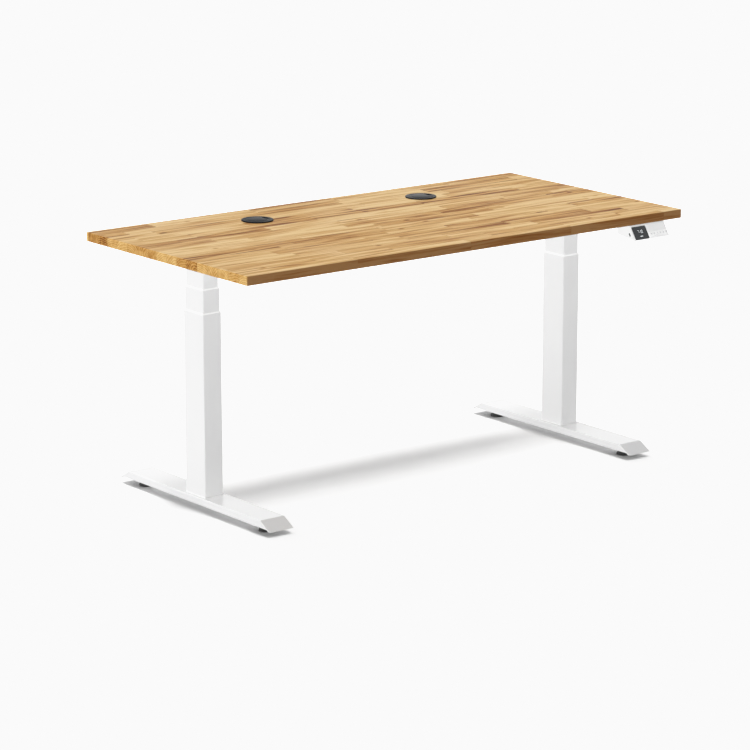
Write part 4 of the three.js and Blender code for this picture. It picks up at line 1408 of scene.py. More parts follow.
@dataclass
class Grommet(SubAssembly):
    """A cable ring in the desktop and the domed cap that turns in it."""

    side: Side
    lip: float = 0.0012
    ledge: float = 0.003
    slot_width: float = 0.026
    slot_depth: float = 0.015
    groove_radius: float = 0.0285

    def __post_init__(self) -> None:
        """Starts the list of pieces."""
        super().__init__()

    def build(self) -> None:
        """Builds the ring and the cap."""
        word = self.side.word
        low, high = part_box(f"{word}_grommet_ring")
        cap_low, cap_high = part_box(f"{word}_grommet_cap")
        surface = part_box("desktop")[1].z
        centre = (low + high) / 2
        flange = (high.x - low.x) / 2
        mouth = (cap_high.x - cap_low.x) / 2 + 0.0004
        barrel = mouth + 0.003
        seat = cap_low.z - 0.0003
        rest = surface + 0.0003
        rings = [
            Ring(mouth - self.ledge, low.z),
            Ring(barrel, low.z),
            Ring(barrel, rest),
            Ring(flange, rest),
            Ring(flange, high.z - self.lip),
            Ring(flange - self.lip * 0.3, high.z - self.lip * 0.35),
            Ring(flange - self.lip, high.z),
            Ring(mouth + 0.0006, high.z),
            Ring(mouth, high.z - 0.0006),
            Ring(mouth, seat),
            Ring(mouth - self.ledge, seat),
        ]
        axis = Matrix.Translation((centre.x, centre.y, 0))
        ring = turned(rings, axis, steps=96, closed=True)
        self.take(f"{word}_cable_ring", ring, BLACK_PLASTIC, "top", [f"{word}_grommet_ring"])
        cap = self.cap_mesh(centre, cap_low.z, high.z, cap_high.z, mouth - 0.0004)
        self.take(f"{word}_cable_cap", cap, BLACK_PLASTIC, f"{word}_cap", [f"{word}_grommet_cap"])

    def cap_mesh(
        self, centre: Vector, bottom: float, shoulder: float, crown: float, radius: float
    ) -> bpy.types.Mesh:
        """Makes the domed cap with its slot, which points towards +X.

        Args:
            centre: its axis.
            bottom: its lower face.
            shoulder: the height of its rim.
            crown: the height of its middle.
            radius: of its rim.

        Returns:
            The mesh.
        """
        groove = self.groove_radius
        dome = crown - shoulder
        rings = [
            Ring(radius * 0.97, bottom),
            Ring(radius, bottom + 0.0006),
            Ring(radius, shoulder - 0.0009),
            Ring(radius - 0.0004, shoulder - 0.0003),
            Ring(radius - 0.0012, shoulder),
            Ring(groove + 0.0010, shoulder + dome * 0.30),
            Ring(groove + 0.0004, shoulder + dome * 0.10),
            Ring(groove - 0.0004, shoulder + dome * 0.10),
            Ring(groove - 0.0010, shoulder + dome * 0.42),
            Ring(radius * 0.55, shoulder + dome * 0.75),
            Ring(radius * 0.28, shoulder + dome * 0.95),
            Ring(radius * 0.02, crown),
        ]
        whole = turned(rings, Matrix.Translation((centre.x, centre.y, 0)), steps=96)
        cutter = plate(
            rounded_outline(self.slot_depth * 2, self.slot_width, 0.004),
            bottom - 0.004,
            crown + 0.004,
            0.0001,
            place=Matrix.Translation((centre.x + radius, centre.y, 0)),
        )
        return cut_from(whole, cutter)


@dataclass
class Foot(SubAssembly):
    """A steel foot with its levelers and the bolts that hold the column."""

    side: Side
    edge: float = 0.0019
    roof: float = 0.003
    fillet: float = 0.0012
    bolt_across: float = 0.036
    bolt_along: float = 0.062
    pad_ribs: int = 30

    def __post_init__(self) -> None:
        """Starts the list of pieces."""
        super().__init__()

    def build(self) -> None:
        """Builds the channel, the fillet round the column, the bolts and the levelers."""
        word = self.side.word
        node = f"{word}_foot"
        self.take(f"{word}_foot_channel", refined(node), WHITE_STEEL, "base", [node], self.edge)
        self.take(f"{word}_foot_fillet", self.fillet_mesh(), WHITE_STEEL, "base")
        low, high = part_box(node)
        under = (low + high) / 2
        under.z = high.z - self.roof
        bolt = ButtonScrew(radius=0.0065, height=0.0035, socket=0.0026, socket_depth=0.0018, washer=0.0085)
        heads = []
        for across in (-1, 1):
            for along in (-1, 1):
                offset = Vector((across * self.bolt_across / 2, along * self.bolt_along / 2, 0))
                heads.append(bolt.mesh(under + offset, DOWN))
        self.take(f"{word}_column_bolts", joined(heads), ZINC, "base")
        for end in ("front", "rear"):
            self.leveler(f"{word}_{end}_leveler")
        self.keep(f"{word}_base_plate", ZINC)
        self.keep(f"{word}_base_screw", ZINC)

    def fillet_mesh(self) -> bpy.types.Mesh:
        """Makes the small bead where the column meets the foot."""
        low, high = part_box(f"{self.side.word}_outer_tube")
        size = high - low
        foot_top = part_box(f"{self.side.word}_foot")[1].z
        centre = (low + high) / 2
        shapes = (
            (-0.0004, foot_top - 0.0002),
            (2 * self.fillet, foot_top - 0.0002),
            (2 * self.fillet, foot_top + 0.0002),
            (0.7 * self.fillet, foot_top + 0.5 * self.fillet),
            (0.0002, foot_top + self.fillet),
            (-0.0004, foot_top + self.fillet),
        )
        rings = []
        for grown, height in shapes:
            outline = rounded_outline(size.x + grown, size.y + grown, 0.003 + grown / 2)
            rings.append([Vector((centre.x + x, centre.y + y, height)) for x, y in outline])
        return loft(rings, closed=True)

    def leveler(self, node: str) -> None:
        """Builds one leveler: a ribbed pad, a hexagon and a threaded stem.

        Args:
            node: the node that it stands for.
        """
        low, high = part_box(node)
        radius = (high.x - low.x) / 2
        centre = (low + high) / 2
        axis = Matrix.Translation((centre.x, centre.y, 0))
        ribbed = {"ribs": self.pad_ribs, "rib_depth": 0.0003}
        body = radius - 0.0004
        pad = [
            Ring(body - 0.0025, low.z),
            Ring(body - 0.0008, low.z + 0.0003),
            Ring(body, low.z + 0.0012, **ribbed),
            Ring(body, low.z + 0.0048, **ribbed),
            Ring(body - 0.0010, low.z + 0.0058),
            Ring(body - 0.0040, low.z + 0.0066),
            Ring(0.0092, low.z + 0.0078),
        ]
        name = node.replace("leveler", "pad")
        self.take(name, turned(pad, axis, steps=180), RUBBER, node, [node])
        nut = [
            Ring(0.0070, low.z + 0.0076, sides=6),
            Ring(0.0070, low.z + 0.0126, sides=6),
            Ring(0.0064, low.z + 0.0134),
            Ring(0.0043, low.z + 0.0136),
        ]
        stem = turned([*nut, *self.thread(low.z + 0.0138, high.z)], axis, steps=36)
        self.take(node.replace("leveler", "stem"), stem, ZINC, node)

    def thread(self, start: float, end: float, pitch: float = 0.00125, radius: float = 0.004) -> list[Ring]:
        """Draws the ridges of the stem.

        Args:
            start: its lower end.
            end: its upper end.
            pitch: from ridge to ridge.
            radius: over the ridges.

        Returns:
            The levels of the stem.
        """
        levels = []
        height = start
        while height + pitch < end:
            levels.append(Ring(radius - 0.0006, height))
            levels.append(Ring(radius, height + pitch * 0.5))
            height += pitch
        return [*levels, Ring(radius - 0.0006, height), Ring(radius - 0.0010, end)]


@dataclass
class Column(SubAssembly):
    """The three tubes of a lifting column, their guide collars and the screws inside."""

    side: Side
    wall: float = 0.0015
    corner: float = 0.003
    rim: float = 0.0004
    slide_gap: float = 0.0004
    lip: float = 0.0004
    slope: float = 0.0014

    def __post_init__(self) -> None:
        """Starts the list of pieces."""
        super().__init__()

    def build(self) -> None:
        """Builds the tubes and collars."""
        word = self.side.word
        for stage in Stage:
            part = stage.name.lower()
            node = f"{word}_{part}_tube"
            low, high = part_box(node)
            size = high - low
            outer = rounded_outline(size.x, size.y, self.corner)
            inner = rounded_outline(size.x - 2 * self.wall, size.y - 2 * self.wall, self.corner - self.wall)
            tube = sleeve(outer, inner, low.z, high.z, (low + high) / 2)
            self.take(f"{word}_{part}_stage", tube, WHITE_STEEL, stage.value, [node], self.rim)
        for stage, inside in ((Stage.OUTER, "middle"), (Stage.MIDDLE, "inner")):
            self.collar(f"{word}_{stage.name.lower()}_collar", f"{word}_{inside}_tube", stage)
        for node in ("sleeve_bearing", "lift_sleeve", "drive_tube"):
            self.keep(f"{word}_{node}", ZINC)

    def collar(self, node: str, inside: str, stage: Stage) -> None:
        """Builds one guide collar.

        Args:
            node: the node that it stands for.
            inside: the tube that slides in it.
            stage: the stage that carries it.
        """
        low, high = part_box(node)
        tube_low, tube_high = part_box(inside)
        centre = (low + high) / 2
        size = high - low
        gap = 2 * self.slide_gap
        opening = rounded_outline(
            tube_high.x - tube_low.x + gap, tube_high.y - tube_low.y + gap, self.corner + self.slide_gap
        )
        outline = rounded_outline(size.x, size.y, self.corner)
        lip = rounded_outline(size.x + 2 * self.lip, size.y + 2 * self.lip, self.corner + self.lip)
        crest = rounded_outline(size.x - 2 * self.slope, size.y - 2 * self.slope, self.corner)
        levels = (
            (outline, low.z - 0.0003),
            (lip, low.z - 0.0003),
            (lip, low.z + 0.0005),
            (crest, high.z),
            (opening, high.z),
            (opening, low.z),
        )
        rings = [[Vector((centre.x + x, centre.y + y, z)) for x, y in points] for points, z in levels]
        self.take(node.replace("collar", "guide"), loft(rings, closed=True), GUIDE, stage.value, [node])


@dataclass
class LiftHead(SubAssembly):
    """The gearbox on top of a column, its motor, and the arm that carries the desktop."""

    side: Side
    case_edge: float = 0.0015
    end_cap: float = 0.006
    end_step: float = 0.003
    gap: float = 0.0003
    shaft: float = 0.004
    screw_inset: float = 0.008
    arm_edge: float = 0.0007

    def __post_init__(self) -> None:
        """Starts the list of pieces."""
        super().__init__()

    def build(self) -> None:
        """Builds the case, the motor, the arm and their screws."""
        word = self.side.word
        gearbox, motor, arm = (f"{word}_{part}" for part in ("gearbox", "motor", "arm"))
        self.take(f"{word}_gear_case", refined(gearbox), WHITE_STEEL, "top", [gearbox], self.case_edge)
        self.take(f"{word}_motor_can", self.motor_mesh(motor), MOTOR_ZINC, "top", [motor])
        self.take(f"{word}_motor_bolts", self.motor_bolts(motor), ZINC, "top")
        self.take(f"{word}_arm_plate", refined(arm), WHITE_STEEL, "top", [arm], self.arm_edge)
        self.take(f"{word}_arm_washers", joined(self.arm_washers(arm)), RUBBER, "top")
        self.take(f"{word}_arm_screws", joined(self.arm_screws(arm)), ZINC, "top")
        self.take(f"{word}_case_screws", joined(self.case_screws(gearbox)), ZINC, "top")

    def motor_axis(self, node: str) -> tuple[Matrix, float]:
        """Finds the motor's placement and length.

        Args:
            node: the motor's node.

        Returns:
            The placement, with Z from the gearbox to the motor's free end, and the can's length.
        """
        low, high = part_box(node)
        case_low, case_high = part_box(f"{self.side.word}_gearbox")
        way = Vector((-self.side.value, 0, 0))
        start = (case_high.x + self.gap) if way.x > 0 else (case_low.x - self.gap)
        free = high.x if way.x > 0 else low.x
        middle = (low + high) / 2
        return turn_to(way, Vector((start, middle.y, middle.z))), abs(free - start)

    def motor_mesh(self, node: str) -> bpy.types.Mesh:
        """Makes the motor can with its rolled ends and its shaft.

        Args:
            node: the motor's node.

        Returns:
            The mesh.
        """
        low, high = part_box(node)
        radius = (high.z - low.z) / 2
        axis, length = self.motor_axis(node)
        reach = (high.x - low.x) - length
        neck = radius - self.end_step
        groove = radius - 0.0008
        rings = [
            Ring(self.shaft, -reach),
            Ring(self.shaft, 0.0),
            Ring(neck - 0.001, 0.0),
            Ring(neck, 0.001),
            Ring(neck, self.end_cap - 0.001),
            Ring(radius - 0.0012, self.end_cap - 0.0008),
            Ring(radius, self.end_cap + 0.0008),
            Ring(radius, 0.0240),
            Ring(groove, 0.0246),
            Ring(groove, 0.0258),
            Ring(radius, 0.0264),
            Ring(radius, length - 0.0300),
            Ring(groove, length - 0.0294),
            Ring(groove, length - 0.0282),
            Ring(radius, length - 0.0276),
            Ring(radius, length - self.end_cap),
            Ring(radius - 0.0008, length - self.end_cap + 0.0016),
            Ring(radius - self.end_step, length - 0.0012),
            Ring(radius - self.end_step - 0.002, length - 0.0004),
            Ring(0.0075, length - 0.0004),
            Ring(0.0070, length),
        ]
        return turned(rings, axis, steps=72)

    def motor_bolts(self, node: str) -> bpy.types.Mesh:
        """Makes the two long bolts' heads on the motor's free end.

        Args:
            node: the motor's node.

        Returns:
            The mesh.
        """
        axis, length = self.motor_axis(node)
        way = Vector((-self.side.value, 0, 0))
        head = ButtonScrew(
            radius=0.0021, height=0.0011, socket=0.0008,
            socket_depth=0.0007, washer=0.0026, washer_height=0.0004,
        )
        end = axis @ Vector((0, 0, length - 0.0006))
        return joined([head.mesh(end + Vector((0, 0, offset)), way) for offset in (-0.0108, 0.0108)])

    def arm_places(self, node: str) -> list[Vector]:
        """Finds where the arm is screwed to the desktop.

        Args:
            node: the arm's node.

        Returns:
            The places, on the arm's lower face.
        """
        low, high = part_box(node)
        middle = (low + high) / 2
        face = high.z - 0.004
        half = (high.y - low.y) / 2
        spots = []
        for across in (-0.016, 0.016):
            for along in (-(half - 0.022), -0.115, 0.115, half - 0.022):
                spots.append(Vector((middle.x + across, middle.y + along, face)))
        return spots

    def arm_washers(self, node: str) -> list[bpy.types.Mesh]:
        """Makes the rubber washers that keep the arm's screws quiet.

        Args:
            node: the arm's node.

        Returns:
            The meshes.
        """
        shape = [Ring(0.0074, 0.0), Ring(0.0080, 0.0004), Ring(0.0080, 0.0012), Ring(0.0072, 0.0016)]
        return [turned(shape, turn_to(DOWN, spot), steps=32) for spot in self.arm_places(node)]

    def arm_screws(self, node: str) -> list[bpy.types.Mesh]:
        """Makes the screws that hold the desktop.

        Args:
            node: the arm's node.

        Returns:
            The meshes.
        """
        screw = ButtonScrew()
        return [screw.mesh(spot + DOWN * 0.0015, DOWN) for spot in self.arm_places(node)]

    def case_screws(self, node: str) -> list[bpy.types.Mesh]:
        """Makes the two screws in the bottom of the gearbox, near the end that faces the middle of the desk.

        Args:
            node: the gearbox's node.

        Returns:
            The meshes.
        """
        low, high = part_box(node)
        tube_low, tube_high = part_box(f"{self.side.word}_inner_tube")
        screw = ButtonScrew(
            radius=0.0036, height=0.0018, socket=0.0014,
            socket_depth=0.0010, washer=0.0044, washer_height=0.0004,
        )
        inner = (high.x - self.screw_inset) if self.side is Side.LEFT else (low.x + self.screw_inset)
        heads = []
        for y in (low.y + self.screw_inset, high.y - self.screw_inset):
            heads.append(screw.mesh(Vector((inner, y, low.z)), DOWN))
        return heads


@dataclass
class Rails(SubAssembly):
    """The two box rails between the gearboxes, with their grub screws."""

    edge: float = 0.0005
    screw_from_end: float = 0.014

    def __post_init__(self) -> None:
        """Starts the list of pieces."""
        super().__init__()

    def build(self) -> None:
        """Builds the rails and their screws."""
        screw = ButtonScrew(
            radius=0.0030, height=0.0012, socket=0.0014,
            socket_depth=0.0008, washer=0.0034, washer_height=0.0003,
        )
        for end in ("front", "rear"):
            node = f"{end}_rail"
            low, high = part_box(node)
            self.take(f"{end}_rail_tube", refined(node), WHITE_STEEL, "top", [node], self.edge)
            middle = (low.y + high.y) / 2
            spots = (
                low.x + self.screw_from_end,
                low.x + 2.4 * self.screw_from_end,
                high.x - 2.4 * self.screw_from_end,
                high.x - self.screw_from_end,
            )
            heads = [screw.mesh(Vector((x, middle, low.z)), DOWN) for x in spots]
            self.take(f"{end}_rail_screws", joined(heads), ZINC, "top")


@dataclass
class ControlBox(SubAssembly):
    """The control box under the desktop, with its cover, inlet, ribs, screws and board; the plugs in it come
    with the leads.
    """

    edge: float = 0.0010
    rib_count: int = 9
    rib_pitch: float = 0.007
    rib_length: float = 0.056

    def __post_init__(self) -> None:
        """Starts the list of pieces."""
        super().__init__()

    def build(self) -> None:
        """Builds the box and everything on it."""
        case = refined("control_box_shell")
        self.take("control_case", case, CONTROL_BLACK, "top", ["control_box_shell"], self.edge)
        self.take("control_cover", refined("control_box_lid"), LID_STEEL, "top", ["control_box_lid"], 0.0005)
        self.take("inlet_body", refined("mains_inlet"), SOCKET_BLACK, "top", ["mains_inlet"], 0.0003)
        self.take("inlet_blades", joined(self.blade_meshes()), ZINC, "top")
        self.take("control_ribs", joined(self.rib_meshes()), CONTROL_BLACK, "top")
        self.take("control_screws", joined(self.screw_meshes()), ZINC, "top")
        self.keep("control_board", BOARD)

    def rib_meshes(self) -> list[bpy.types.Mesh]:
        """Makes the cooling ribs on the bottom of the case."""
        low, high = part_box("control_box_shell")
        middle = (low + high) / 2
        ribs = []
        for group in (-1, 1):
            for index in range(self.rib_count):
                x = middle.x + group * 0.060 + (index - (self.rib_count - 1) / 2) * self.rib_pitch
                place = Matrix.Translation((x, middle.y, 0))
                outline = rounded_outline(0.0030, self.rib_length, 0.0014)
                ribs.append(plate(outline, low.z - 0.0012, low.z + 0.0006, 0.0005, place=place))
        return ribs

    def screw_meshes(self) -> list[bpy.types.Mesh]:
        """Makes the screws in the cover's ears and the four in the case."""
        low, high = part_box("control_box_lid")
        case_low, case_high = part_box("control_box_shell")
        middle = (low + high) / 2
        ear = ButtonScrew()
        small = ButtonScrew(
            radius=0.0028, height=0.0014, socket=0.0011,
            socket_depth=0.0008, washer=0.0034, washer_height=0.0003,
        )
        heads = []
        for x in (low.x + 0.009, high.x - 0.009):
            for y in (middle.y - 0.018, middle.y + 0.018):
                heads.append(ear.mesh(Vector((x, y, low.z)), DOWN))
        for x in (case_low.x + 0.010, case_high.x - 0.010):
            for y in (case_low.y + 0.010, case_high.y - 0.010):
                heads.append(small.mesh(Vector((x, y, case_low.z)), DOWN))
        return heads

    def blade_meshes(self) -> list[bpy.types.Mesh]:
        """Makes the plated blades of the mains inlet."""
        low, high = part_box("mains_inlet")
        middle = (low + high) / 2
        front = high.x - 0.0068
        outline = rounded_outline(0.0023, 0.0053, 0.0004)
        blades = []
        for y, z in ((-0.007, -0.002), (0.0, 0.003), (0.007, -0.002)):
            at = Vector((0, middle.y + y, middle.z + z))
            place = Matrix.Translation(at) @ Matrix(((0, 0, 1, 0), (1, 0, 0, 0), (0, 1, 0, 0), (0, 0, 0, 1)))
            blades.append(plate(outline, front - 0.0068, front, 0.0003, place=place))
        return blades


@dataclass
class Leads(SubAssembly):
    """The motor leads and the handset's lead, clipped under the desktop, with their plugs."""

    motor_radius: float = 0.0025
    handset_radius: float = 0.0020
    clearance: float = 0.001
    clip_length: float = 0.008
    plug_size: tuple[float, float, float] = (0.013, 0.0118, 0.011)
    handset_plug_width: float = 0.0095
    handset_exit: float = 0.6699
    handset_socket_y: float = 0.110
    crossing_x: float = 0.4364

    def __post_init__(self) -> None:
        """Starts the list of pieces."""
        super().__init__()
        desk = middle_of("desktop")
        self.middle_y = desk.y
        self.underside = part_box("desktop")[0].z
        box_low, box_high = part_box("control_box_shell")
        self.box_end = box_high.x + 0.0003
        self.box_height = (box_low.z + box_high.z) / 2
        self.rail_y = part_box("rear_rail")[0].y - self.middle_y + 0.010
        motor_low, motor_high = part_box("right_motor")
        self.motor_end = motor_low.x - 0.0003
        self.motor_height = (motor_low.z + motor_high.z) / 2

    def build(self) -> None:
        """Builds the three leads with their clips and plugs."""
        for side, socket_y, clips in ((Side.LEFT, 0.100, (46, 64)), (Side.RIGHT, 0.086, (46, 64))):
            lead = f"{side.word}_motor_lead"
            self.lead(lead, self.motor_points(side, socket_y), self.motor_radius, clips)
        self.lead("handset_lead", self.handset_points(), self.handset_radius, (30, 42, 72, 86))

    def place(self, x: float, y: float, z: float) -> Vector:
        """Gives a point whose y is measured from the desktop's middle."""
        return Vector((x, y + self.middle_y, z))

    def motor_points(self, side: Side, socket_y: float) -> list[Vector]:
        """Gives the points that a motor's lead passes.

        Args:
            side: which motor.
            socket_y: the socket's place on the control box.

        Returns:
            The points, from the motor to the control box.
        """
        run = self.underside - self.clearance - self.motor_radius
        end, box = self.motor_end, self.box_end
        points = (
            (end, 0, self.motor_height),
            (end - 0.015, 0, self.motor_height),
            (end - 0.040, 0.002, self.motor_height + 0.005),
            (end - 0.062, 0.008, run - 0.002),
            (end - 0.080, self.rail_y - 0.012, run),
            (end - 0.095, self.rail_y, run),
            (end - 0.110, self.rail_y + 0.020, run),
            (end - 0.150, socket_y - 0.008, run),
            (box + 0.090, socket_y, run),
            (box + 0.050, socket_y, run - 0.004),
            (box + 0.020, socket_y, self.box_height),
            (box, socket_y, self.box_height),
        )
        return [self.place(side.value * x, y, z) for x, y, z in points]

    def handset_points(self) -> list[Vector]:
        """Gives the points that the handset's lead passes, from the handset to the control box."""
        run = self.underside - self.clearance - self.handset_radius
        box = self.box_end
        start_low, start_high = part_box("handset_lead")
        arm_low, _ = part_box("right_arm")
        back = start_low.y - self.middle_y
        start_x = start_high.x - self.handset_radius
        start_z = self.handset_exit
        cross, rail, socket_y = self.crossing_x, self.rail_y, self.handset_socket_y
        arm_x = arm_low.x
        arm_y = arm_low.y - self.middle_y
        points = (
            (start_x, back, start_z),
            (start_x, back + 0.014, start_z),
            (start_x - 0.002, back + 0.034, run - 0.003),
            (arm_x - 0.040, arm_y - 0.007, run),
            (cross + 0.040, -0.160, run),
            (cross + 0.008, -0.100, run),
            (cross, -rail - 0.012, run),
            (cross, 0.0, run),
            (cross, rail + 0.012, run),
            (cross - 0.014, socket_y - 0.034, run),
            (cross - 0.060, socket_y, run),
            (box + 0.090, socket_y, run),
            (box + 0.050, socket_y, run - 0.004),
            (box + 0.020, socket_y, self.box_height),
            (box, socket_y, self.box_height),
        )
        return [self.place(*point) for point in points]

    def lead(self, node: str, points: list[Vector], radius: float, clips: Sequence[int]) -> None:
        """Builds one lead, its plug and its clips.

        Args:
            node: the node that it stands for.
            points: the points that it passes.
            radius: of the lead.
            clips: the steps of its route that are clipped.
        """
        route = smooth_route(points)
        self.take(f"{node}_sheath", round_lead(route, radius), LEAD_RUBBER, "top", [node])
        plug = self.plug_mesh(points[-1], points[-2], radius)
        self.take(f"{node}_plug", plug, SOCKET_BLACK, "top", edge=0.0006)
        saddles = [self.saddle_mesh(route[index], route[index + 1] - route[index], radius) for index in clips]
        self.take(f"{node}_clips", joined(saddles), BLACK_PLASTIC, "top")

    def plug_mesh(self, end: Vector, before: Vector, radius: float) -> bpy.types.Mesh:
        """Makes the plug on the control box and its tapered boot.

        Args:
            end: where the lead meets the box.
            before: the point before it.
            radius: of the lead.

        Returns:
            The mesh.
        """
        way = (before - end).normalized()
        length, width, height = self.plug_size
        if radius < self.motor_radius:
            width = self.handset_plug_width
        axis = Matrix.Translation(end) @ Matrix(((0, 0, way.x, 0), (1, 0, 0, 0), (0, 1, 0, 0), (0, 0, 0, 1)))
        body = plate(rounded_outline(width, height, 0.0015), 0.0, length, 0.0006, place=axis)
        boot = [
            Ring(radius + 0.0024, length - 0.0005),
            Ring(radius + 0.0022, length + 0.0020),
            Ring(radius + 0.0014, length + 0.0022),
            Ring(radius + 0.0014, length + 0.0034),
            Ring(radius + 0.0018, length + 0.0036),
            Ring(radius + 0.0006, length + 0.0060),
        ]
        return joined([body, turned(boot, turn_to(way, end), steps=32)])

    def saddle_mesh(self, at: Vector, way: Vector, radius: float) -> bpy.types.Mesh:
        """Makes one clip: a strap under the lead with a screwed tab beside it.

        Args:
            at: the lead's middle there.
            way: the lead's direction there.
            radius: of the lead.

        Returns:
            The mesh.
        """
        forward = Vector((way.x, way.y, 0)).normalized()
        side = Vector((-forward.y, forward.x, 0))
        top = self.underside - 0.0002 - at.z
        inner, outer = radius + 0.0002, radius + 0.0013
        profile = [(outer, top)]
        bends = [math.pi * step / 12 for step in range(13)]
        profile += [(outer * math.cos(bend), -outer * math.sin(bend)) for bend in bends]
        tab_edge = -outer - 0.0080
        profile += [(-outer, top - 0.0016), (tab_edge, top - 0.0016), (tab_edge, top), (-inner, top)]
        profile += [(-inner * math.cos(bend), -inner * math.sin(bend)) for bend in bends]
        profile += [(inner, top)]
        half = self.clip_length / 2
        middle = [at + side * x + Vector((0, 0, z)) for x, z in profile]
        strap = loft([[point + forward * shift for point in middle] for shift in (-half, half)])
        tab = at + side * (-outer - 0.0042) + Vector((0, 0, top - 0.0016))
        rings = [Ring(0.0024, 0.0), Ring(0.0024, 0.0006), Ring(0.0014, 0.0012)]
        pin = turned(rings, turn_to(DOWN, tab), steps=24)
        return joined([strap, pin])


class Segment(Enum):
    """The seven bars of a digit: middle x, middle y and whether the bar is upright, in half digits."""

    TOP = (0.0, 1.0, False)
    UPPER_RIGHT = (1.0, 0.5, True)
    LOWER_RIGHT = (1.0, -0.5, True)
    BOTTOM = (0.0, -1.0, False)
    LOWER_LEFT = (-1.0, -0.5, True)
    UPPER_LEFT = (-1.0, 0.5, True)
    MIDDLE = (0.0, 0.0, False)


@dataclass
class Handset(SubAssembly):
    """The tilted handset: housing, display with its digits, six keys and a charging port."""

    tilt: float = math.radians(33.2)
    shell_edge: float = 0.0012
    key_edge: float = 0.0005
    reading: tuple[int, ...] = (7, 1, 0)
    digit_width: float = 0.0042
    digit_height: float = 0.0080
    digit_pitch: float = 0.0064
    bar_width: float = 0.0009
    reading_rise: float = 0.0035
    mark_drop: float = 0.0105
    mark_size: Point = (0.0095, 0.0020)
    print_rise: float = 0.00006

    def __post_init__(self) -> None:
        """Starts the list of pieces and finds the face's directions."""
        super().__init__()
        self.out = Vector((0, -math.cos(self.tilt), math.sin(self.tilt)))
        self.up = Vector((0, math.sin(self.tilt), math.cos(self.tilt)))

    def on_face(self, at: Vector) -> Matrix:
        """Gives the placement on the sloping face, with X along the desk and Y up the slope."""
        turn = Matrix((Vector((1, 0, 0)), self.up, self.out)).transposed()
        return Matrix.Translation(at) @ turn.to_4x4()

    def build(self) -> None:
        """Builds the shell and what is set in it."""
        shell = refined("handset_housing")
        self.take("handset_shell", shell, HANDSET_WHITE, "top", ["handset_housing"], self.shell_edge)
        self.take("handset_floor", refined("handset_base"), HANDSET_WHITE, "top", ["handset_base"], 0.0004)
        self.take("port_shell", refined("charging_port"), SOCKET_BLACK, "top", ["charging_port"], 0.0002)
        self.take("port_tongue", self.tongue_mesh(), BOARD, "top")
        self.take("handset_screws", joined(self.tab_screws()), ZINC, "top")
        self.take("display_cover", self.cover_mesh(), DISPLAY, "top", ["handset_panel"])
        self.take("display_digits", joined(self.digit_meshes()), SEGMENT, "top")
        self.take("display_mark", self.mark_mesh(), SEGMENT, "top")
        self.keep("handset_display", BLACK_PLASTIC)
        self.keep("handset_board", BOARD)
        bodies = ("up", "down", "memory_one", "memory_two", "memory_three", "memory_store")
        digits = (self.digit(number) for number in (1, 2, 3))
        drawings = (self.arrow(1), self.arrow(-1), *digits, self.ring_sign())
        for index, (body, drawing) in enumerate(zip(bodies, drawings), start=1):
            node = f"handset_key_{index}"
            self.take(f"{body}_key_cap", refined(node), KEY_WHITE, f"{body}_key", [node], self.key_edge)
            place = self.on_face(outermost(node, self.out))
            marks = [
                plate(shape, -self.print_rise, self.print_rise, 0.00001, holes, place, 0)
                for shape, holes in drawing
            ]
            self.take(f"{body}_key_sign", joined(marks), KEY_PRINT, f"{body}_key")

    def cover_mesh(self) -> bpy.types.Mesh:
        """Makes the display's cover, rounded at its edge."""
        face = outermost("handset_panel", self.out)
        low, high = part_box("handset_panel")
        corners = [corner.co.dot(self.up) for corner in frame["nodes"]["handset_panel"].data.vertices]
        width = high.x - low.x
        length = max(corners) - min(corners)
        outline = rounded_outline(width, length, 0.0027)
        return plate(outline, -0.0017, 0.0, 0.0005, place=self.on_face(face))

    def segment_shapes(self, number: int, scale: float) -> list[list[Point]]:
        """Draws the bars of a digit about its middle.

        Args:
            number: the digit.
            scale: its size, 1 on the display.

        Returns:
            The bars' outlines.
        """
        lit = {
            0: "TOP UPPER_RIGHT LOWER_RIGHT BOTTOM LOWER_LEFT UPPER_LEFT",
            1: "UPPER_RIGHT LOWER_RIGHT",
            2: "TOP UPPER_RIGHT MIDDLE LOWER_LEFT BOTTOM",
            3: "TOP UPPER_RIGHT MIDDLE LOWER_RIGHT BOTTOM",
            7: "TOP UPPER_RIGHT LOWER_RIGHT",
        }
        half_width, half_height = self.digit_width / 2 * scale, self.digit_height / 2 * scale
        thick = self.bar_width / 2 * scale
        shapes = []
        for word in lit[number].split():
            x, y, upright = Segment[word].value
            reach = (half_height / 2 if upright else half_width) - thick * 0.2
            bar = [(-reach, 0), (-reach + thick, -thick), (reach - thick, -thick), (reach, 0)]
            bar += [(reach - thick, thick), (-reach + thick, thick)]
            turned_bar = [(-py, px) for px, py in bar] if upright else bar
            shapes.append(moved(turned_bar, x * half_width, y * half_height))
        return shapes

    def digit(self, number: int) -> list[tuple[list[Point], list]]:
        """Draws a small digit for a key."""
        return [(shape, []) for shape in self.segment_shapes(number, 0.55)]

    def arrow(self, way: int) -> list[tuple[list[Point], list]]:
        """Draws an arrow head for a key, up for 1 and down for -1."""
        outer = [(-0.0021, -0.0011), (0.0, 0.0011), (0.0021, -0.0011)]
        points = [*outer, (0.0015, -0.0016), (0.0, -0.0001), (-0.0015, -0.0016)]
        return [([(x, way * y) for x, y in points], [])]

    def ring_sign(self) -> list[tuple[list[Point], list]]:
        """Draws the ring with a dot for the store key."""
        ring = (circle_outline(0.0020, steps=32), [circle_outline(0.0014, steps=32)])
        return [ring, (circle_outline(0.0006, steps=20), [])]

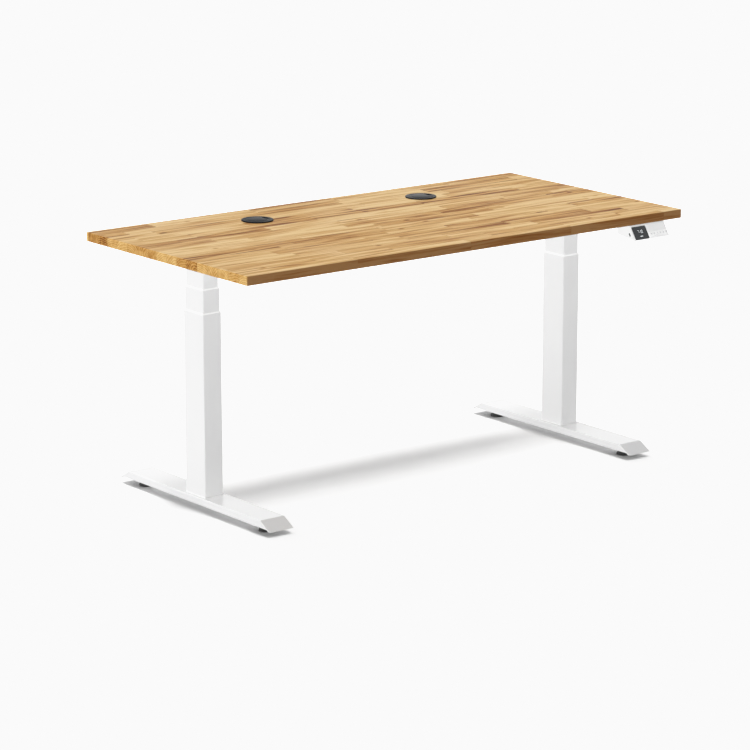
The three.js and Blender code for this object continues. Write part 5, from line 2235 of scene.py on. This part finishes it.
    def digit_meshes(self) -> list[bpy.types.Mesh]:
        """Makes the lit digits of the height reading and its decimal point."""
        face = outermost("handset_panel", self.out) + self.up * self.reading_rise
        place = self.on_face(face)
        middle = (len(self.reading) - 1) / 2
        meshes = []
        for index, number in enumerate(self.reading):
            for shape in self.segment_shapes(number, 1.0):
                shifted = moved(shape, (index - middle) * self.digit_pitch, 0)
                bar = plate(shifted, -self.print_rise, self.print_rise, 0.00001, place=place, steps=0)
                meshes.append(bar)
        dot = (middle - 0.5) * self.digit_pitch
        outline = circle_outline(0.00055, (dot, -self.digit_height / 2), 20)
        meshes.append(plate(outline, -self.print_rise, self.print_rise, 0.00001, place=place, steps=0))
        return meshes

    def mark_mesh(self) -> bpy.types.Mesh:
        """Makes the plain bar under the digits."""
        face = outermost("handset_panel", self.out) - self.up * self.mark_drop
        outline = rounded_outline(*self.mark_size, 0.0005)
        return plate(outline, -self.print_rise, self.print_rise, 0.00001, place=self.on_face(face), steps=0)

    def tongue_mesh(self) -> bpy.types.Mesh:
        """Makes the contact tongue inside the charging port."""
        low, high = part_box("charging_port")
        middle = (low + high) / 2
        sideways = Matrix((Vector((1, 0, 0)), self.up, self.out)).transposed()
        place = Matrix.Translation(Vector((low.x + 0.0035, middle.y, middle.z))) @ sideways.to_4x4()
        return plate(rounded_outline(0.0048, 0.0058, 0.0004), -0.0004, 0.0004, 0.0002, place=place)

    def tab_screws(self) -> list[bpy.types.Mesh]:
        """Makes the screws in the tab behind the handset."""
        low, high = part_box("handset_base")
        housing_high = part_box("handset_housing")[1]
        y = (housing_high.y + high.y) / 2
        inset = 0.030
        screw = ButtonScrew(
            radius=0.0040, height=0.0020, socket=0.0015,
            socket_depth=0.0010, washer=0.0052, washer_height=0.0005,
        )
        return [screw.mesh(Vector((x, y, low.z)), DOWN) for x in (low.x + inset, high.x - inset)]


# ------------------------------------------------------------------------ studio


@dataclass(frozen=True)
class Fill:
    """A lamp that casts no shadow, and lights only the pieces whose names hold its word."""

    name: str
    strength: float
    place: tuple[float, float, float]
    word: str = ""
    lights_top: bool = False  # otherwise only pieces below the desktop's underside


@dataclass
class Studio:
    """A pale floor, soft light all round, two broad lamps overhead, fills for the frame, and the camera."""

    azimuth: float = math.radians(-37.92)
    elevation: float = math.radians(13.60)
    aim: tuple[float, float, float] = (0.0, 0.0751, 0.2597)
    distance: float = 9.125
    lens: float = 156.384
    floor_reach: float = 60.0
    floor_white: float = 1.84
    bounce_white: float = 0.90
    # Painted contact shadow on the floor: the brightness it falls to and how far it reaches.
    contact_white: float = 0.35
    contact_reach: float = 0.045
    paper_white: float = 0.956
    sky_base: float = 0.24
    sky_left: float = 0.10
    sky_back: float = 0.9
    horizon: float = 1.6
    zenith: float = 0.15
    lamp_angle: float = math.radians(14)
    front_lamp: tuple[float, float] = (0.86, math.radians(-26.2))
    back_lamp: tuple[float, float] = (1.25, math.radians(18.4))
    fills: tuple[Fill, ...] = (
        Fill("left_fill", 1.17, (-1.0, 0.0, 0.0), lights_top=True),
        Fill("front_fill", 0.75, (0.0, -1.0, -0.17)),
        Fill("back_fill", 1.62, (-0.2, 0.8, 0.5)),
        Fill("rim_fill", 0.95, (-0.2, -0.7, 0.6), word="guide"),
    )

    def build(self) -> None:
        """Builds the floor, the light and the camera."""
        self.build_floor()
        self.build_sky()
        self.build_lamp("front_lamp", *self.front_lamp)
        self.build_lamp("back_lamp", *self.back_lamp)
        self.build_camera()
        self.set_tone()

    def build_floor(self) -> None:
        """Makes the floor: white paper, seen brighter than it bounces, with a painted contact shadow close
        under things, and clear from below.
        """
        reach = self.floor_reach
        work = bmesh.new()
        corners = [work.verts.new((x * reach, y * reach, 0)) for x, y in ((-1, -1), (1, -1), (1, 1), (-1, 1))]
        work.faces.new(corners)
        floor = bpy.data.objects.new("studio_floor", mesh_from(work))
        bpy.context.scene.collection.objects.link(floor)
        floor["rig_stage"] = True
        paper = bpy.data.materials.new("studio paper")
        paper.use_nodes = True
        graph = Graph(paper.node_tree)
        graph.tree.nodes.remove(graph.tree.nodes["Principled BSDF"])
        seen, bounced = (graph.node("ShaderNodeBsdfDiffuse") for _ in range(2))
        # Painted contact shadow: the paper the camera sees darkens where ambient occlusion finds things close
        # above it.
        contact = graph.node("ShaderNodeAmbientOcclusion", samples=8)
        graph.feed(contact.inputs["Distance"], self.contact_reach)
        white = graph.span(contact.outputs["AO"], 0.0, 0.9, self.contact_white, self.floor_white)
        graph.feed(seen.inputs["Color"], graph.vector(white, white, white))
        graph.feed(bounced.inputs["Color"], (*(self.bounce_white,) * 3, 1))
        either = graph.node("ShaderNodeMixShader")
        graph.feed(either.inputs[0], graph.node("ShaderNodeLightPath").outputs["Is Camera Ray"])
        graph.feed(either.inputs[1], bounced.outputs[0])
        graph.feed(either.inputs[2], seen.outputs[0])
        below = graph.node("ShaderNodeMixShader")
        graph.feed(below.inputs[0], graph.node("ShaderNodeNewGeometry").outputs["Backfacing"])
        graph.feed(below.inputs[1], either.outputs[0])
        graph.feed(below.inputs[2], graph.node("ShaderNodeBsdfTransparent").outputs[0])
        graph.feed(graph.tree.nodes["Material Output"].inputs["Surface"], below.outputs[0])
        floor.data.materials.append(paper)

    def build_sky(self) -> None:
        """Makes the light all round: strongest low down behind, with a horizon only reflections see."""
        world = bpy.data.worlds.new("studio light")
        world.use_nodes = True
        bpy.context.scene.world = world
        graph = Graph(world.node_tree)
        x, y, z = graph.parts(graph.node("ShaderNodeTexCoord").outputs["Generated"])
        lowness = graph.math("SUBTRACT", 1.0, z, clamp=True)
        low = graph.math("MULTIPLY", lowness, lowness)
        left = graph.math("MAXIMUM", graph.math("MULTIPLY", x, -1.0), 0.0)
        left = graph.math("MULTIPLY", left, self.sky_left)
        back = graph.math("MULTIPLY", graph.math("MAXIMUM", y, 0.0), self.sky_back)
        light = graph.math("MULTIPLY_ADD", graph.math("ADD", left, back), low, self.sky_base)
        mirrored = graph.node("ShaderNodeLightPath").outputs["Is Glossy Ray"]
        shine = graph.math("MULTIPLY_ADD", lowness, self.horizon, self.zenith)
        light = graph.math("MULTIPLY_ADD", mirrored, graph.math("SUBTRACT", shine, light), light)
        background = graph.tree.nodes["Background"]
        seen = graph.node("ShaderNodeLightPath").outputs["Is Camera Ray"]
        colour = graph.blend(seen, graph.vector(light, light, light), (1, 1, 1, 1))
        graph.feed(background.inputs["Color"], colour)

    def build_lamp(self, name: str, strength: float, lean: float) -> None:
        """Hangs a broad lamp overhead.

        Args:
            name: the lamp's name.
            strength: its strength.
            lean: how far it hangs behind the desk, as an angle at the desk.
        """
        lamp = bpy.data.lights.new(name, "SUN")
        lamp.energy = strength
        lamp.angle = self.lamp_angle
        hung = bpy.data.objects.new(name, lamp)
        hung.rotation_euler = (-lean, 0, 0)
        bpy.context.scene.collection.objects.link(hung)

    def build_fills(self, underside: float) -> None:
        """Sets the fills: each lights what stays below the desktop, and the desktop if it lights the top.

        Args:
            underside: the height of the desktop's underside.
        """
        everything = bpy.context.scene.objects
        pieces = [piece for piece in everything if piece.type == "MESH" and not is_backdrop(piece)]
        tops = {
            piece.name: max((piece.matrix_world @ Vector(corner)).z for corner in piece.bound_box)
            for piece in pieces
        }
        for fill in self.fills:
            lit = bpy.data.collections.new(f"{fill.name}_pieces")
            for piece in pieces:
                if fill.word in piece.name and (tops[piece.name] < underside or fill.lights_top):
                    lit.objects.link(piece)
            lamp = bpy.data.lights.new(fill.name, "SUN")
            lamp.energy = fill.strength
            lamp.angle = self.lamp_angle
            lamp.use_shadow = False
            hung = bpy.data.objects.new(fill.name, lamp)
            hung.rotation_euler = Vector(fill.place).to_track_quat("Z", "Y").to_euler()
            hung.light_linking.receiver_collection = lit
            bpy.context.scene.collection.objects.link(hung)

    def build_camera(self) -> None:
        """Sets up the camera."""
        data = bpy.data.cameras.new("camera")
        data.lens = self.lens
        data.clip_end = 200
        camera = bpy.data.objects.new("camera", data)
        flat = math.cos(self.elevation)
        back = Vector(
            (math.sin(self.azimuth) * flat, -math.cos(self.azimuth) * flat, math.sin(self.elevation))
        )
        camera.rotation_mode = "QUATERNION"
        camera.location = Vector(self.aim) + back * self.distance
        camera.rotation_quaternion = (-back).to_track_quat("-Z", "Y")
        bpy.context.scene.collection.objects.link(camera)
        bpy.context.scene.camera = camera

    def set_tone(self) -> None:
        """Shows colours plainly, with the brightest white just under the screen's own."""
        settings = bpy.context.scene.view_settings
        settings.view_transform = "Standard"
        settings.look = "None"
        settings.use_curve_mapping = True
        mapping = settings.curve_mapping
        mapping.extend = "HORIZONTAL"
        curve = mapping.curves[3]
        curve.points[0].location = (0.0, 0.0)
        curve.points[1].location = (1.0, self.paper_white)
        curve.points.new(0.88, 0.88)
        for point in curve.points:
            point.handle_type = "VECTOR"
        mapping.update()


def main() -> None:
    """Builds and dresses the desk and its studio, in order."""
    logging.basicConfig(level=logging.INFO, format="%(name)s %(message)s")
    studio = Studio()
    studio.build()
    parts: list[SubAssembly] = [Desktop()]
    for side in Side:
        parts += [Grommet(side), Foot(side), Column(side), LiftHead(side)]
    parts += [Rails(), ControlBox(), Leads(), Handset()]
    for part in parts:
        part.build()
        part.dress()
    studio.build_fills(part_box("desktop")[0].z)


if __name__ == "__main__":
    main()
